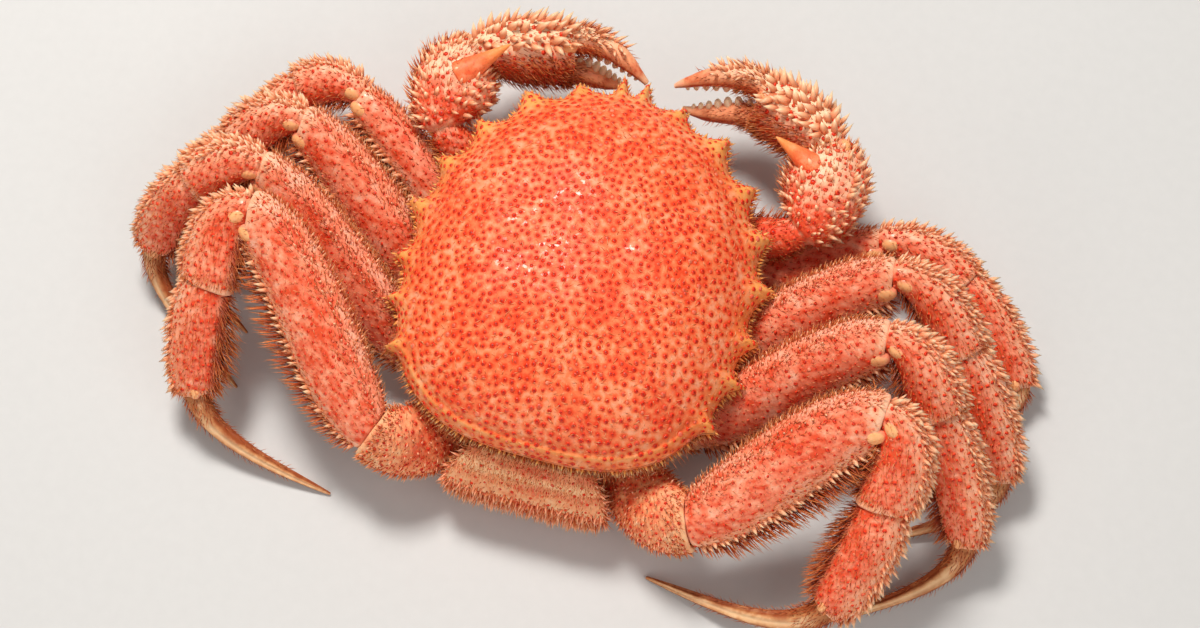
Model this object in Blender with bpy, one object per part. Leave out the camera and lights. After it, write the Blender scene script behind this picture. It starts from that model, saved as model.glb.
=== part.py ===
"""Boiled horsehair crab, a still life-size model in its serving pose.

Sizes are in millimetres in the crab's own frame: +X to its right, +Y to its front, +Z up, with the
floor at zero and the middle of the shell over the origin. The finished parts are moved so that the
middle of their box stands over the origin, and are stored in metres.
"""

import math
import random

import bmesh
import bpy
from mathutils import Matrix, Vector
from mathutils.bvhtree import BVHTree

MM = 0.001
GAP = 0.3

# Shell: one curve in front of its widest line and a squarer one behind it
SHELL_HALF_WIDTH = 43.8
SHELL_FRONT = 48.5
SHELL_REAR = 50.5
FRONT_POWER = 1.85
REAR_POWER = 2.9
SHELL_SIDES = 40
RIM_Z = 29.0
DOME_HEIGHT = 20.5
DOME_POWER = 2.6
DOME_ROUNDING = 0.60
DOME_SHARES = (0.975, 0.90, 0.76, 0.56, 0.30)
# Rings under the rim: share of the outline and height
FLANK_RINGS = ((0.70, 19.7), (0.78, 20.1), (0.86, 21.7), (0.93, 24.4), (0.985, 27.4))
# Rim teeth of one side: tip across and ahead, heading, length and root width
RIM_TEETH = (
    (3.3, 53.2, 6, 7.5, 7.0), (13.9, 48.6, 24, 7.5, 14.0), (26.8, 43.2, 36, 8.5, 18.0),
    (36.6, 32.0, 48, 8.0, 16.0), (43.4, 19.8, 60, 7.5, 14.5), (47.4, 6.3, 72, 7.5, 12.5),
    (47.0, -8.3, 82, 6.5, 9.5), (45.8, -19.8, 90, 6.0, 8.5), (42.2, -32.5, 108, 6.0, 8.0),
)
TOOTH_THICKNESS = 5.0
TOOTH_RISE = 0.4

# Breast plate under the shell, and where the limbs of one side leave it: claw first, then the legs
BREAST_Z = (3.9, 5.6, 17.8, 19.3)
BREAST_BEVEL = 1.8
BREAST_FRONT_Y = 33.0
BREAST_REAR_Y = -46.5
# The pad that meets the floor: half width, front and rear, and its rings' heights and shares
BREAST_PAD = (14.0, 26.0, -2.0)
PAD_RINGS = ((0.0, 0.78), (1.6, 1.0), (6.0, 1.15))
PAD_SIDES = 12
SOCKETS = (
    (17.5, 20.5, 64.0), (23.0, 6.0, 75.0), (25.3, -9.0, 87.0), (24.3, -24.0, 102.0),
    (19.5, -41.0, 126.0),
)
SOCKET_Z = 10.6

# Belly flap: along its middle, (ahead, height, half width, half thickness)
FLAP_STATIONS = (
    (-49.4, 24.8, 16.0, 2.0), (-53.6, 21.0, 19.5, 2.3), (-57.0, 15.0, 21.5, 2.5),
    (-57.0, 8.0, 20.5, 2.3), (-51.5, 2.8, 17.5, 1.7), (-45.5, 1.8, 15.5, 1.7),
    (-22.0, 1.8, 11.0, 1.8), (-6.5, 1.8, 5.5, 1.8),
)
FLAP_SIDES = 10
FLAP_SQUARENESS = 0.55

# Walking legs, front pair first: flat and thin sizes of merus, carpus and propodus, dactyl root
LEG_FLAT = ((13.5, 13.0, 12.0), (17.0, 14.5, 13.5), (18.0, 15.5, 14.5), (20.5, 16.5, 15.5))
LEG_THIN = ((9.8, 10.2, 9.2), (10.2, 10.6, 9.6), (10.4, 10.8, 9.8), (11.2, 11.0, 10.2))
DACTYL_ROOT = (6.6, 6.8, 7.0, 7.4)
DACTYL_THIN = 0.85
# Where each leg's joints lie: merus root, knee, wrist, ankle and tip
LEG_JOINTS = {
    "leg1_left": ((-31, 7.5, 10), (-70.5, 35, 18), (-87, 34, 17), (-98, 15, 7), (-78, -7, 0.3)),
    "leg2_left": ((-36, -10, 13.5), (-80, 19, 31), (-96, 12, 26), (-109, -7, 9), (-84, -30, 0.3)),
    "leg3_left": ((-37, -28, 14.5), (-85, 2, 38), (-101, -4, 34), (-112, -17, 12), (-82, -45, 0.3)),
    "leg4_left": ((-41, -52, 22), (-83, -11, 40), (-91, -28, 30), (-89, -52, 13), (-50, -66, 0.3)),
    "leg1_right": ((31, 7.2, 9.6), (71, 31, 16), (95, 26, 17), (115, 6, 7), (92, -16, 0.3)),
    "leg2_right": ((36, -10, 13.5), (76, 16, 35), (98, 4, 28), (115, -20, 9), (88, -42, 0.3)),
    "leg3_right": ((37, -28, 13.5), (78, -3, 42), (95, -15, 34), (110, -39, 11), (80, -66, 0.3)),
    "leg4_right": ((42, -54, 21), (81, -23, 44), (87, -41, 32), (80, -65, 15), (34, -66, 0.3)),
}

# Shares of the ways before and after each joint that make the way through it
HIP_BLEND = (0.5, 1.0)
KNEE_BLEND = (1.1, 0.9)
WRIST_BLEND = (1.0, 1.0)
ANKLE_BLEND = (1.4, 0.6)
TIP_BLEND = (-0.3, 1.5)
# How far each part runs straight out of its joints, as a share of its length
LEG_HANDLES = {"hip": 0.35, "merus": 0.18, "carpus": 0.30, "propodus": 0.22, "dactyl": 0.30}
CLAW_HANDLE = 0.3
FINGER_HANDLE = 0.4
LIMB_SIDES = 10
DACTYL_SIDES = 8
HAND_SIDES = 12
LIMB_SQUARENESS = 0.92

# Claws: elbow, wrist, knuckle, tips of the fixed and the moving finger, and the hand's crest way
CLAW_JOINTS = {
    "claw_left": ((-46, 31.5, 23), (-42, 51.5, 26), (-19, 59.5, 24), (-3.5, 57.5, 17), (2, 56.5, 24)),
    "claw_right": ((50.5, 27, 24.5), (52, 48.5, 28), (33, 58.5, 25), (12, 55.5, 16), (9, 58, 23)),
}
CREST_WAY = (0.0, 0.60, 0.80)
CLAW_HIP = (11.0, 10.0)
CLAW_HIP_REACH = 8.0
CLAW_HIP_RISE = 3.2
CLAW_ARM = (11.5, 10.0)
CLAW_WRIST = (22.0, 17.0)
CLAW_HAND = (19.0, 12.5)
FINGER_ROOT = (8.2, 7.6)
FINGER_APART = 4.5
# How the fingers hook towards each other, and how deep the fixed one is rooted in the palm
MOVING_HOOK = 0.5
FIXED_HOOK = 0.3
FIXED_DEPTH = 4.0

# How the thickness of each limb runs: place along it, share of its flat and of its thin size
HIP_PROFILE = ((0.0, 0.60, 0.80), (0.35, 0.66, 0.90), (0.7, 0.72, 0.92), (1.0, 0.70, 0.84))
REAR_HIP_PROFILE = ((0.0, 0.64, 1.0), (0.35, 0.92, 1.3), (0.7, 0.96, 1.2), (1.0, 0.78, 0.94))
MERUS_PROFILE = (
    (0.0, 0.66, 0.82), (0.14, 0.86, 0.95), (0.35, 1.0, 1.0), (0.60, 0.98, 1.0), (0.84, 0.86, 0.98),
    (1.0, 0.70, 0.84),
)
CARPUS_PROFILE = (
    (0.0, 0.50, 0.76), (0.2, 0.70, 0.94), (0.5, 0.93, 1.0), (0.8, 1.0, 1.0), (1.0, 0.92, 0.94),
)
CARPUS_LEAN = 0.5
PROPODUS_PROFILE = (
    (0.0, 0.82, 0.88), (0.2, 0.98, 1.0), (0.5, 1.0, 1.0), (0.8, 0.90, 0.92), (1.0, 0.66, 0.72),
)
DACTYL_PROFILE = (
    (0.0, 1.0, 0.92), (0.12, 0.92, 0.86), (0.3, 0.76, 0.74), (0.5, 0.60, 0.60), (0.7, 0.44, 0.46),
    (0.88, 0.28, 0.30), (1.0, 0.10, 0.11),
)
WRIST_PROFILE = (
    (0.0, 0.56, 0.64), (0.18, 0.82, 0.86), (0.45, 1.0, 1.0), (0.75, 1.0, 1.0), (1.0, 0.66, 0.72),
)
PALM_PROFILE = (
    (0.0, 0.58, 0.70), (0.2, 0.86, 0.94), (0.5, 1.0, 1.0), (0.8, 1.0, 0.96), (1.0, 0.94, 0.86),
)
FINGER_PROFILE = (
    (0.0, 1.0, 0.96), (0.25, 0.90, 0.88), (0.5, 0.74, 0.74), (0.75, 0.54, 0.56), (1.0, 0.16, 0.18),
)

# Face
EYE_AT = (10.3, 46.0, 23.5)
EYE_RADIUS = 2.0
STALK_RADIUS = 1.3
STALK_FROM = (8.4, 43.4, 22.2)
FEELER_FROM = (4.4, 42.1, 20.3)
FEELER_TO = (21.0, 39.0, 18.4)
JAW_FROM = (4.35, 35.2, 4.4)
JAW_TO = (4.35, 37.0, 18.6)
EYE_SEGMENTS = (8, 6)
STALK_SIDES = 6
# Rings of a feeler, place and radius, and of a jaw plate, place, half width and half thickness
FEELER_RINGS = ((0.0, 1.4), (0.25, 1.3), (0.3, 0.75), (1.0, 0.3))
FEELER_SIDES = 6
JAW_RINGS = ((0.0, 3.0, 1.4), (0.3, 4.2, 1.9), (0.7, 4.2, 1.9), (1.0, 2.8, 1.4))
JAW_SIDES = 8
JAW_SQUARENESS = 0.8

# Bristles. A row along a limb: turn round it, count, first and last place, length, root radius
LEG_ROWS = {
    "hip": ((180, 4, 0.25, 0.85, 4.0, 1.1), (90, 3, 0.3, 0.8, 2.6, 0.9)),
    "merus": (
        (0, 8, 0.08, 0.93, 4.6, 1.1), (180, 8, 0.10, 0.93, 4.0, 1.1), (55, 3, 0.20, 0.84, 2.4, 0.9),
        (90, 5, 0.12, 0.92, 2.4, 0.9), (125, 3, 0.22, 0.80, 2.4, 0.9), (-90, 2, 0.3, 0.7, 2.2, 0.9),
    ),
    "carpus": (
        (0, 3, 0.40, 0.90, 3.6, 1.1), (180, 4, 0.15, 0.90, 3.4, 1.1), (65, 3, 0.20, 0.85, 2.4, 0.9),
        (115, 3, 0.25, 0.90, 2.4, 0.9),
    ),
    "propodus": (
        (0, 5, 0.12, 0.90, 4.4, 1.1), (180, 5, 0.10, 0.90, 3.6, 1.1), (65, 3, 0.15, 0.88, 2.4, 0.9),
        (115, 3, 0.20, 0.80, 2.4, 0.9), (-90, 2, 0.3, 0.7, 2.2, 0.9),
    ),
}
BRISTLY_HIP = "leg4"
CLAW_ROWS = {
    "arm": ((0, 3, 0.4, 0.9, 3.2, 1.0), (90, 3, 0.5, 0.9, 2.4, 0.9), (180, 3, 0.4, 0.9, 3.2, 1.0)),
    "wrist": (
        (0, 4, 0.2, 0.85, 3.2, 1.1), (35, 4, 0.2, 0.85, 2.8, 1.1), (70, 4, 0.15, 0.75, 2.6, 1.0),
        (110, 4, 0.15, 0.75, 2.6, 1.0), (145, 4, 0.2, 0.7, 2.8, 1.1), (180, 4, 0.2, 0.75, 3.2, 1.1),
    ),
    "palm": (
        (-60, 4, 0.18, 0.90, 2.8, 1.2), (-28, 5, 0.10, 0.95, 3.4, 1.3), (0, 5, 0.12, 0.92, 3.6, 1.3),
        (28, 5, 0.12, 0.95, 3.2, 1.2), (70, 3, 0.30, 0.85, 2.6, 0.9), (180, 4, 0.2, 0.9, 3.4, 1.0),
    ),
    "finger": ((0, 5, 0.08, 0.62, 2.8, 1.0), (50, 4, 0.10, 0.55, 2.2, 0.8), (-40, 4, 0.1, 0.55, 2.4, 0.8)),
    "fixed": ((180, 4, 0.30, 0.75, 2.8, 0.9),),
}
# Blunt teeth on the cutting edges of the fingers: turn, count, first and last place, length, radius
FINGER_TEETH = {"finger": (180, 5, 0.30, 0.88, 1.5, 1.0), "fixed": (0, 6, 0.40, 0.90, 1.8, 1.1)}
FORWARD_LEAN = 0.45
ROOT_DEPTH = 1.3
BRISTLE_SIDES = 4
STUNTING = (1.0, 0.75, 0.5)
# Their chance: shares of the spacing, turn in degrees, and shares of the length
STRAY = 0.25
TURN_STRAY = 6.0
LENGTHS = (0.8, 1.15)
# Bristles of a limb stay this far from its joints
ROW_ENDS = (0.04, 0.96)
# How far along a bristle its clearance is tested
BEADS = (0.0, 0.3, 0.6, 0.85, 1.0)
BEAD_CELL = 6.0
TIP_RADIUS = 0.15
# The spine at the wrist's inner front corner: its root and tip
CORNER_SPINES = {
    "claw_left": ((-43.5, 44.5, 31.5), (-33.5, 52.5, 37.0)),
    "claw_right": ((49.0, 42.0, 32.0), (38.5, 45.8, 35.5)),
}
CORNER_RADIUS = 3.0
CORNER_SIDES = 6
# Shell bristles: along the rim, and rings of warts over the dome (share of the outline, count)
RIM_BRISTLES = 76
RIM_BRISTLE = (3.2, 1.1)
RIM_TILTS = (-0.4, 0.0, 0.5)
DOME_RINGS = ((0.92, 26), (0.78, 21), (0.62, 15), (0.42, 9), (0.20, 4))
DOME_BRISTLE = (1.7, 1.1)
DOME_STRAY = 0.03
# Rows over the belly flap's rear: place along the stations and half width of the row
FLAP_ROWS = ((1.0, 14.0), (2.0, 16.0), (3.0, 15.0))
FLAP_ROW_COUNT = 6
FLAP_BRISTLE = (3.8, 1.2)
FLAP_STRAY = 0.8
FLAP_RAISE = 0.3
SMOOTH_ANGLE = 40.0

LOOKS = {
    "shell": ((0.80, 0.26, 0.10), 0.42),
    "leg": ((0.78, 0.26, 0.16), 0.38),
    "claw": ((0.84, 0.44, 0.30), 0.40),
    "underside": ((0.86, 0.58, 0.42), 0.45),
    "toe": ((0.62, 0.34, 0.16), 0.35),
    "eye": ((0.03, 0.02, 0.02), 0.15),
}


def clear_scene():
    for obj in list(bpy.data.objects):
        bpy.data.objects.remove(obj)


def paint(name, look):
    """The material of one part."""
    colour, roughness = LOOKS[look]
    material = bpy.data.materials.new(f"{name}_{look}")
    material.use_nodes = True
    shader = material.node_tree.nodes["Principled BSDF"]
    shader.inputs["Base Color"].default_value = (*colour, 1.0)
    shader.inputs["Roughness"].default_value = roughness
    shader.inputs["Metallic"].default_value = 0.0
    return material


def mirrored(point, side):
    return Vector((point[0] * side, point[1], point[2]))


def side_of(name):
    return 1 if name.endswith("right") else -1


def heading_way(heading, side):
    """The level direction that many degrees from straight ahead."""
    angle = math.radians(heading)
    return Vector((side * math.sin(angle), math.cos(angle), 0.0))


def ring_place(centre, along, flat, half_flat, half_thin):
    """Where a unit circle goes to be a limb's ring: its X the flat way, its Z along the limb."""
    z = along.normalized()
    x = (flat - z * flat.dot(z)).normalized()
    turn = Matrix((x, z.cross(x), z)).transposed().to_4x4()
    size = Matrix.Diagonal((half_flat, half_thin, 1.0, 1.0))
    return Matrix.Translation(centre) @ turn @ size


def loft(places, sides, squareness=1.0):
    """A closed body: one ring extruded from place to place."""
    bm = bmesh.new()
    made = bmesh.ops.create_circle(bm, cap_ends=True, segments=sides, radius=1.0)
    for vert in made["verts"]:
        angle = math.atan2(vert.co.y, vert.co.x)
        c, s = math.cos(angle), math.sin(angle)
        vert.co.x = math.copysign(abs(c) ** squareness, c)
        vert.co.y = math.copysign(abs(s) ** squareness, s)
    bmesh.ops.transform(bm, matrix=places[0], verts=bm.verts)
    bm.faces.ensure_lookup_table()
    face = bm.faces[0]
    for before, after in zip(places, places[1:]):
        region = [face, *face.edges, *face.verts]
        grown = bmesh.ops.extrude_face_region(bm, geom=region)["geom"]
        verts = [g for g in grown if isinstance(g, bmesh.types.BMVert)]
        face = next(g for g in grown if isinstance(g, bmesh.types.BMFace))
        bmesh.ops.transform(bm, matrix=after @ before.inverted(), verts=verts)
    return bm


class Limb:
    """A bent tube between two joints, whose skin can be found again to set bristles on it."""

    def __init__(self, ends, ways, flexing, sizes, profile, handle=CLAW_HANDLE, lean=0.0):
        self.start, self.end = Vector(ends[0]), Vector(ends[1])
        span = (self.end - self.start).length * handle
        self.leave = self.start + ways[0].normalized() * span
        self.arrive = self.end - ways[1].normalized() * span
        self.flexing = flexing
        self.lean = lean
        self.stations = [(t, sizes[0] / 2 * a, sizes[1] / 2 * b) for t, a, b in profile]

    def centre(self, t):
        """The middle at t, leaning away from the flexing side near the first joint."""
        a, b, c, d, s = self.start, self.leave, self.arrive, self.end, 1.0 - t
        middle = a * s**3 + b * (3 * s * s * t) + c * (3 * s * t * t) + d * t**3
        return middle - self.axes(t)[1] * (self.lean * s * self.halves(t)[0])

    def way(self, t):
        a, b, c, d, s = self.start, self.leave, self.arrive, self.end, 1.0 - t
        return ((b - a) * (s * s) + (c - b) * (2 * s * t) + (d - c) * (t * t)).normalized()

    def axes(self, t):
        """The limb's way, its flexing side and its back at t."""
        way = self.way(t)
        flat = self.flexing(way)
        flat = (flat - way * flat.dot(way)).normalized()
        back = flat.cross(way)
        return way, flat, back if back.z > 0 else -back

    def halves(self, t):
        """Half the flat and the thin size at t."""
        for low, high in zip(self.stations, self.stations[1:]):
            if t <= high[0]:
                share = (t - low[0]) / (high[0] - low[0])
                return [a + (b - a) * share for a, b in zip(low[1:], high[1:])]
        return self.stations[-1][1:]

    def place(self, t, shift=0.0):
        way, flat, _ = self.axes(t)
        return ring_place(self.centre(t) + way * shift, way, flat, *self.halves(t))

    def skin(self, t, turn):
        """A point on the skin and its outward way: turn 0 is the flexing side, 90 the back."""
        way, flat, back = self.axes(t)
        half_flat, half_thin = self.halves(t)
        c, s = math.cos(math.radians(turn)), math.sin(math.radians(turn))
        out = flat * (c / half_flat) + back * (s / half_thin)
        return self.centre(t) + flat * (half_flat * c) + back * (half_thin * s), out.normalized(), way

    def body(self, sides):
        places = [self.place(t) for t, _, _ in self.stations]
        places[0] = self.place(0.0, GAP / 2)
        places[-1] = self.place(1.0, -GAP / 2)
        return loft(places, sides, LIMB_SQUARENESS)


def cone(root, tip, radius, sides=BRISTLE_SIDES, flatten=1.0, flat_way=None):
    """A closed spine from its root to its tip."""
    axis = tip - root
    flat = flat_way or axis.orthogonal()
    middle = (root + tip) / 2
    place = ring_place(middle, axis, flat, radius, radius * flatten)
    place = place @ Matrix.Diagonal((1.0, 1.0, axis.length, 1.0))
    bm = bmesh.new()
    bmesh.ops.create_cone(bm, cap_ends=True, segments=sides, radius1=1.0, radius2=0.0, depth=1.0)
    bmesh.ops.transform(bm, matrix=place, verts=bm.verts)
    return bm


class Surroundings:
    """The bodies and the bristles placed so far, which a new bristle keeps clear of."""

    def __init__(self, solids):
        points, faces = [], []
        self.owners = []
        for owner, bm in solids:
            first = len(points)
            bm.verts.index_update()
            points += [vert.co.copy() for vert in bm.verts]
            faces += [[first + vert.index for vert in face.verts] for face in bm.faces]
            self.owners += [owner] * len(bm.faces)
        self.tree = BVHTree.FromPolygons(points, faces)
        self.cells = {}

    def cell(self, point):
        return tuple(math.floor(value / BEAD_CELL) for value in point)

    def near(self, point):
        x, y, z = self.cell(point)
        steps = (-1, 0, 1)
        for key in ((x + i, y + j, z + k) for i in steps for j in steps for k in steps):
            yield from self.cells.get(key, ())

    def clear(self, owner, beads):
        """Whether all the beads keep the gap to other parts and to the floor."""
        for point, radius in beads:
            if point.z - radius < GAP:
                return False
            for hit in self.tree.find_nearest_range(point, radius + GAP):
                if self.owners[hit[2]] != owner:
                    return False
            for other, other_radius, other_owner in self.near(point):
                if other_owner != owner and (point - other).length < radius + other_radius + GAP:
                    return False
        return True

    def grow(self, owner, foot, way, length, radius):
        """A bristle that stands on the skin at foot, stunted or left out where there is no room."""
        for stunting in STUNTING:
            reach = length * stunting
            beads = [(foot + way * (reach * s), max(radius * (1 - s), TIP_RADIUS)) for s in BEADS]
            if self.clear(owner, beads):
                for point, size in beads:
                    self.cells.setdefault(self.cell(point), []).append((point, size, owner))
                return cone(foot - way * ROOT_DEPTH, foot + way * reach, radius)
        return None


def outline(share, z, step):
    """A point of the shell's outline, counted round from its right side."""
    angle = 2 * math.pi * step / SHELL_SIDES
    c, s = math.cos(angle), math.sin(angle)
    power = FRONT_POWER if s > 0 else REAR_POWER
    length = SHELL_FRONT if s > 0 else SHELL_REAR
    x = SHELL_HALF_WIDTH * math.copysign(abs(c) ** (2 / power), c)
    y = length * math.copysign(abs(s) ** (2 / power), s)
    return Vector((x * share, y * share, z))


def dome_z(share):
    return RIM_Z + DOME_HEIGHT * (1 - share**DOME_POWER) ** DOME_ROUNDING


def skin_rings(bm, rings):
    """Close a stack of equal rings of points with faces, and cap both ends."""
    rows = [[bm.verts.new(point) for point in ring] for ring in rings]
    for low, high in zip(rows, rows[1:]):
        for i in range(len(low)):
            j = (i + 1) % len(low)
            bm.faces.new((low[i], low[j], high[j], high[i]))
    bm.faces.new(rows[0])
    bm.faces.new(rows[-1])


def shell_body():
    bm = bmesh.new()
    levels = [*FLANK_RINGS, (1.0, RIM_Z), *((share, dome_z(share)) for share in DOME_SHARES)]
    rings = [[outline(share, z, i) for i in range(SHELL_SIDES)] for share, z in levels]
    skin_rings(bm, rings)
    return bm


def shell_teeth():
    """The teeth round the rim, as flat cones sunk into it."""
    for x, y, heading, length, width in RIM_TEETH:
        for side in (1, -1):
            tip = Vector((side * x, y, RIM_Z + TOOTH_RISE))
            way = heading_way(heading, side)
            root = tip - way * length
            level = way.cross(Vector((0.0, 0.0, 1.0)))
            yield cone(root, tip, width / 2, BRISTLE_SIDES, TOOTH_THICKNESS / width, level)


def outline_middle(share, step):
    """A point of the dome at that share of the outline."""
    return outline(share, dome_z(share), step)


def dome_normal(share, step):
    """The way the dome faces."""
    across = outline_middle(share, step + 0.2) - outline_middle(share, step - 0.2)
    inward = outline_middle(share - 0.01, step) - outline_middle(share, step)
    return across.cross(inward).normalized()


def shell_bristles(chance):
    """Feet, ways and sizes of the bristles of the rim and of the warts of the dome."""
    for i in range(RIM_BRISTLES):
        step = (i + chance.uniform(-STRAY, STRAY)) * SHELL_SIDES / RIM_BRISTLES
        foot = outline(1.0, RIM_Z, step)
        along = outline(1.0, RIM_Z, step + 0.1) - outline(1.0, RIM_Z, step - 0.1)
        out = along.cross(Vector((0, 0, 1))).normalized()
        tilt = Vector((0, 0, chance.choice(RIM_TILTS)))
        length, radius = RIM_BRISTLE
        yield foot, (out + tilt).normalized(), length * chance.uniform(*LENGTHS), radius
    for share, count in DOME_RINGS:
        for i in range(count):
            step = (i + chance.uniform(-STRAY, STRAY)) * SHELL_SIDES / count
            length, radius = DOME_BRISTLE
            foot = outline_middle(share + chance.uniform(-DOME_STRAY, DOME_STRAY), step)
            yield foot, dome_normal(share, step), length * chance.uniform(*LENGTHS), radius


def flap_bristles(chance):
    """Feet, ways and sizes of the bristles over the rear of the belly flap."""
    for place, half_width in FLAP_ROWS:
        low = FLAP_STATIONS[int(place)]
        high = FLAP_STATIONS[int(place) + 1]
        along = Vector((0, high[0] - low[0], high[1] - low[1])).normalized()
        out = Vector((1, 0, 0)).cross(along)
        out = out if out.y < 0 else -out
        for i in range(FLAP_ROW_COUNT):
            x = (2 * (i + 0.5) / FLAP_ROW_COUNT - 1) * half_width
            x += chance.uniform(-FLAP_STRAY, FLAP_STRAY)
            foot = Vector((x, (low[0] + high[0]) / 2, (low[1] + high[1]) / 2)) + out * low[3]
            length, radius = FLAP_BRISTLE
            way = (out - along * FLAP_RAISE).normalized()
            yield foot, way, length * chance.uniform(*LENGTHS), radius


def row_bristles(limb, row, lean, chance):
    """Feet, ways and sizes of one row of bristles along a limb."""
    turn, count, first, last, length, radius = row
    for i in range(count):
        share = (i + chance.uniform(-STRAY, STRAY)) / max(count - 1, 1)
        t = min(max(first + (last - first) * share, ROW_ENDS[0]), ROW_ENDS[1])
        foot, out, way = limb.skin(t, turn + chance.uniform(-TURN_STRAY, TURN_STRAY))
        yield foot, (out + way * lean).normalized(), length * chance.uniform(*LENGTHS), radius


def line_corner(first, second):
    """Where two level lines meet, each given by a point on it and the way it faces."""
    (p, n), (q, m) = first, second
    a, b = n.dot(p), m.dot(q)
    span = n.x * m.y - n.y * m.x
    return Vector(((a * m.y - b * n.y) / span, (n.x * b - m.x * a) / span, 0.0))


def breast_outline(inset):
    """The breast plate's outline: flat sides that face the sockets."""
    faces = [(Vector((0, BREAST_FRONT_Y, 0)), Vector((0, 1, 0)))]
    faces += [(Vector((x, y, 0)), heading_way(h, 1)) for x, y, h in SOCKETS]
    faces += [(Vector((0, BREAST_REAR_Y, 0)), Vector((0, -1, 0)))]
    moved = [(point - way * (inset + GAP / 2), way) for point, way in faces]
    half = [line_corner(a, b) for a, b in zip(moved, moved[1:])]
    return half + [Vector((-p.x, p.y, 0)) for p in reversed(half)]


def breast_body():
    """A block with vertical socket faces, and a pad in front of the flap that meets the floor."""
    bm = bmesh.new()
    insets = (BREAST_BEVEL, 0.0, 0.0, BREAST_BEVEL)
    rings = []
    for inset, z in zip(insets, BREAST_Z):
        rings.append([point + Vector((0, 0, z)) for point in breast_outline(inset)])
    skin_rings(bm, rings)
    return bm


def breast_pad():
    """The raised front of the breast, flat where it meets the floor."""
    half, front, rear = BREAST_PAD
    middle = Vector((0, (front + rear) / 2, 0))
    reach = (front - rear) / 2
    along, flat = Vector((0, 0, 1)), Vector((1, 0, 0))
    rings = [ring_place(middle + along * z, along, flat, half * k, reach * k) for z, k in PAD_RINGS]
    return loft(rings, PAD_SIDES)


def flap_body():
    """The belly flap: down behind the breast and forward under it."""
    points = [Vector((0, y, z)) for y, z, _, _ in FLAP_STATIONS]
    places = []
    for i, (_, _, half_width, half_thin) in enumerate(FLAP_STATIONS):
        before, after = points[max(i - 1, 0)], points[min(i + 1, len(points) - 1)]
        places.append(ring_place(points[i], after - before, Vector((1, 0, 0)), half_width, half_thin))
    return loft(places, FLAP_SIDES, FLAP_SQUARENESS)


def blend(before, after, shares):
    return (before * shares[0] + after * shares[1]).normalized()


def leg_limbs(name):
    """The five limbs of a walking leg."""
    number = int(name[3]) - 1
    side = side_of(name)
    x, y, heading = SOCKETS[number + 1]
    socket = Vector((side * x, y, SOCKET_Z))
    socket_way = heading_way(heading, side)
    root, knee, wrist, ankle, tip = (Vector(p) for p in LEG_JOINTS[name])
    merus_way = (knee - root).normalized()
    carpus_way = (wrist - knee).normalized()
    propodus_way = (ankle - wrist).normalized()
    toe_way = (tip - ankle).normalized()
    bend = merus_way.cross(propodus_way).normalized()

    def flexing(way):
        return bend.cross(way)

    ways = [
        socket_way,
        blend(socket_way, merus_way, HIP_BLEND),
        blend(merus_way, carpus_way, KNEE_BLEND),
        blend(carpus_way, propodus_way, WRIST_BLEND),
        blend(propodus_way, toe_way, ANKLE_BLEND),
        blend(propodus_way, toe_way, TIP_BLEND),
    ]
    points = [socket, root, knee, wrist, ankle, tip]
    flats, thins, toe = LEG_FLAT[number], LEG_THIN[number], DACTYL_ROOT[number]
    kinds = (
        ("hip", (flats[0], thins[0]), REAR_HIP_PROFILE if name.startswith(BRISTLY_HIP) else HIP_PROFILE),
        ("merus", (flats[0], thins[0]), MERUS_PROFILE),
        ("carpus", (flats[1], thins[1]), CARPUS_PROFILE),
        ("propodus", (flats[2], thins[2]), PROPODUS_PROFILE),
        ("dactyl", (toe, toe * DACTYL_THIN), DACTYL_PROFILE),
    )
    limbs = {}
    for i, (part, sizes, profile) in enumerate(kinds):
        lean = CARPUS_LEAN if part == "carpus" else 0.0
        ends, turns = points[i:i + 2], ways[i:i + 2]
        limbs[part] = Limb(ends, turns, flexing, sizes, profile, LEG_HANDLES[part], lean)
    return limbs


def claw_limbs(name):
    """The limbs of a claw; the fixed finger belongs to the palm."""
    side = side_of(name)
    x, y, heading = SOCKETS[0]
    socket = Vector((side * x, y, SOCKET_Z))
    socket_way = heading_way(heading, side)
    elbow, wrist, knuckle, fixed_tip, moving_tip = (Vector(p) for p in CLAW_JOINTS[name])
    root = socket + socket_way * CLAW_HIP_REACH + Vector((0, 0, CLAW_HIP_RISE))
    arm_way = (elbow - root).normalized()
    block_way = (wrist - elbow).normalized()
    palm_way = (knuckle - wrist).normalized()
    crest = Vector(CREST_WAY)
    crest = (crest - palm_way * crest.dot(palm_way)).normalized()

    def upright(way):
        return Vector((0, 0, 1)).cross(way)

    def crested(way):
        return crest

    elbow_way = (arm_way + block_way).normalized()
    wrist_way = (block_way + palm_way).normalized()
    upper = knuckle + crest * FINGER_APART
    lower = knuckle - crest * FINGER_APART
    moving_way = (moving_tip - upper).normalized()
    fixed_way = (fixed_tip - lower).normalized()
    return {
        "hip": Limb((socket, root), (socket_way, arm_way), upright, CLAW_HIP, HIP_PROFILE),
        "arm": Limb((root, elbow), (arm_way, elbow_way), upright, CLAW_ARM, MERUS_PROFILE),
        "wrist": Limb((elbow, wrist), (elbow_way, wrist_way), upright, CLAW_WRIST, WRIST_PROFILE),
        "palm": Limb((wrist, knuckle), (wrist_way, palm_way), crested, CLAW_HAND, PALM_PROFILE),
        "finger": Limb((upper, moving_tip), (palm_way, moving_way - crest * MOVING_HOOK), crested,
                       FINGER_ROOT, FINGER_PROFILE, FINGER_HANDLE),
        "fixed": Limb((lower - palm_way * FIXED_DEPTH, fixed_tip), (palm_way, fixed_way + crest * FIXED_HOOK),
                      crested, FINGER_ROOT, FINGER_PROFILE, FINGER_HANDLE),
    }


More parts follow.
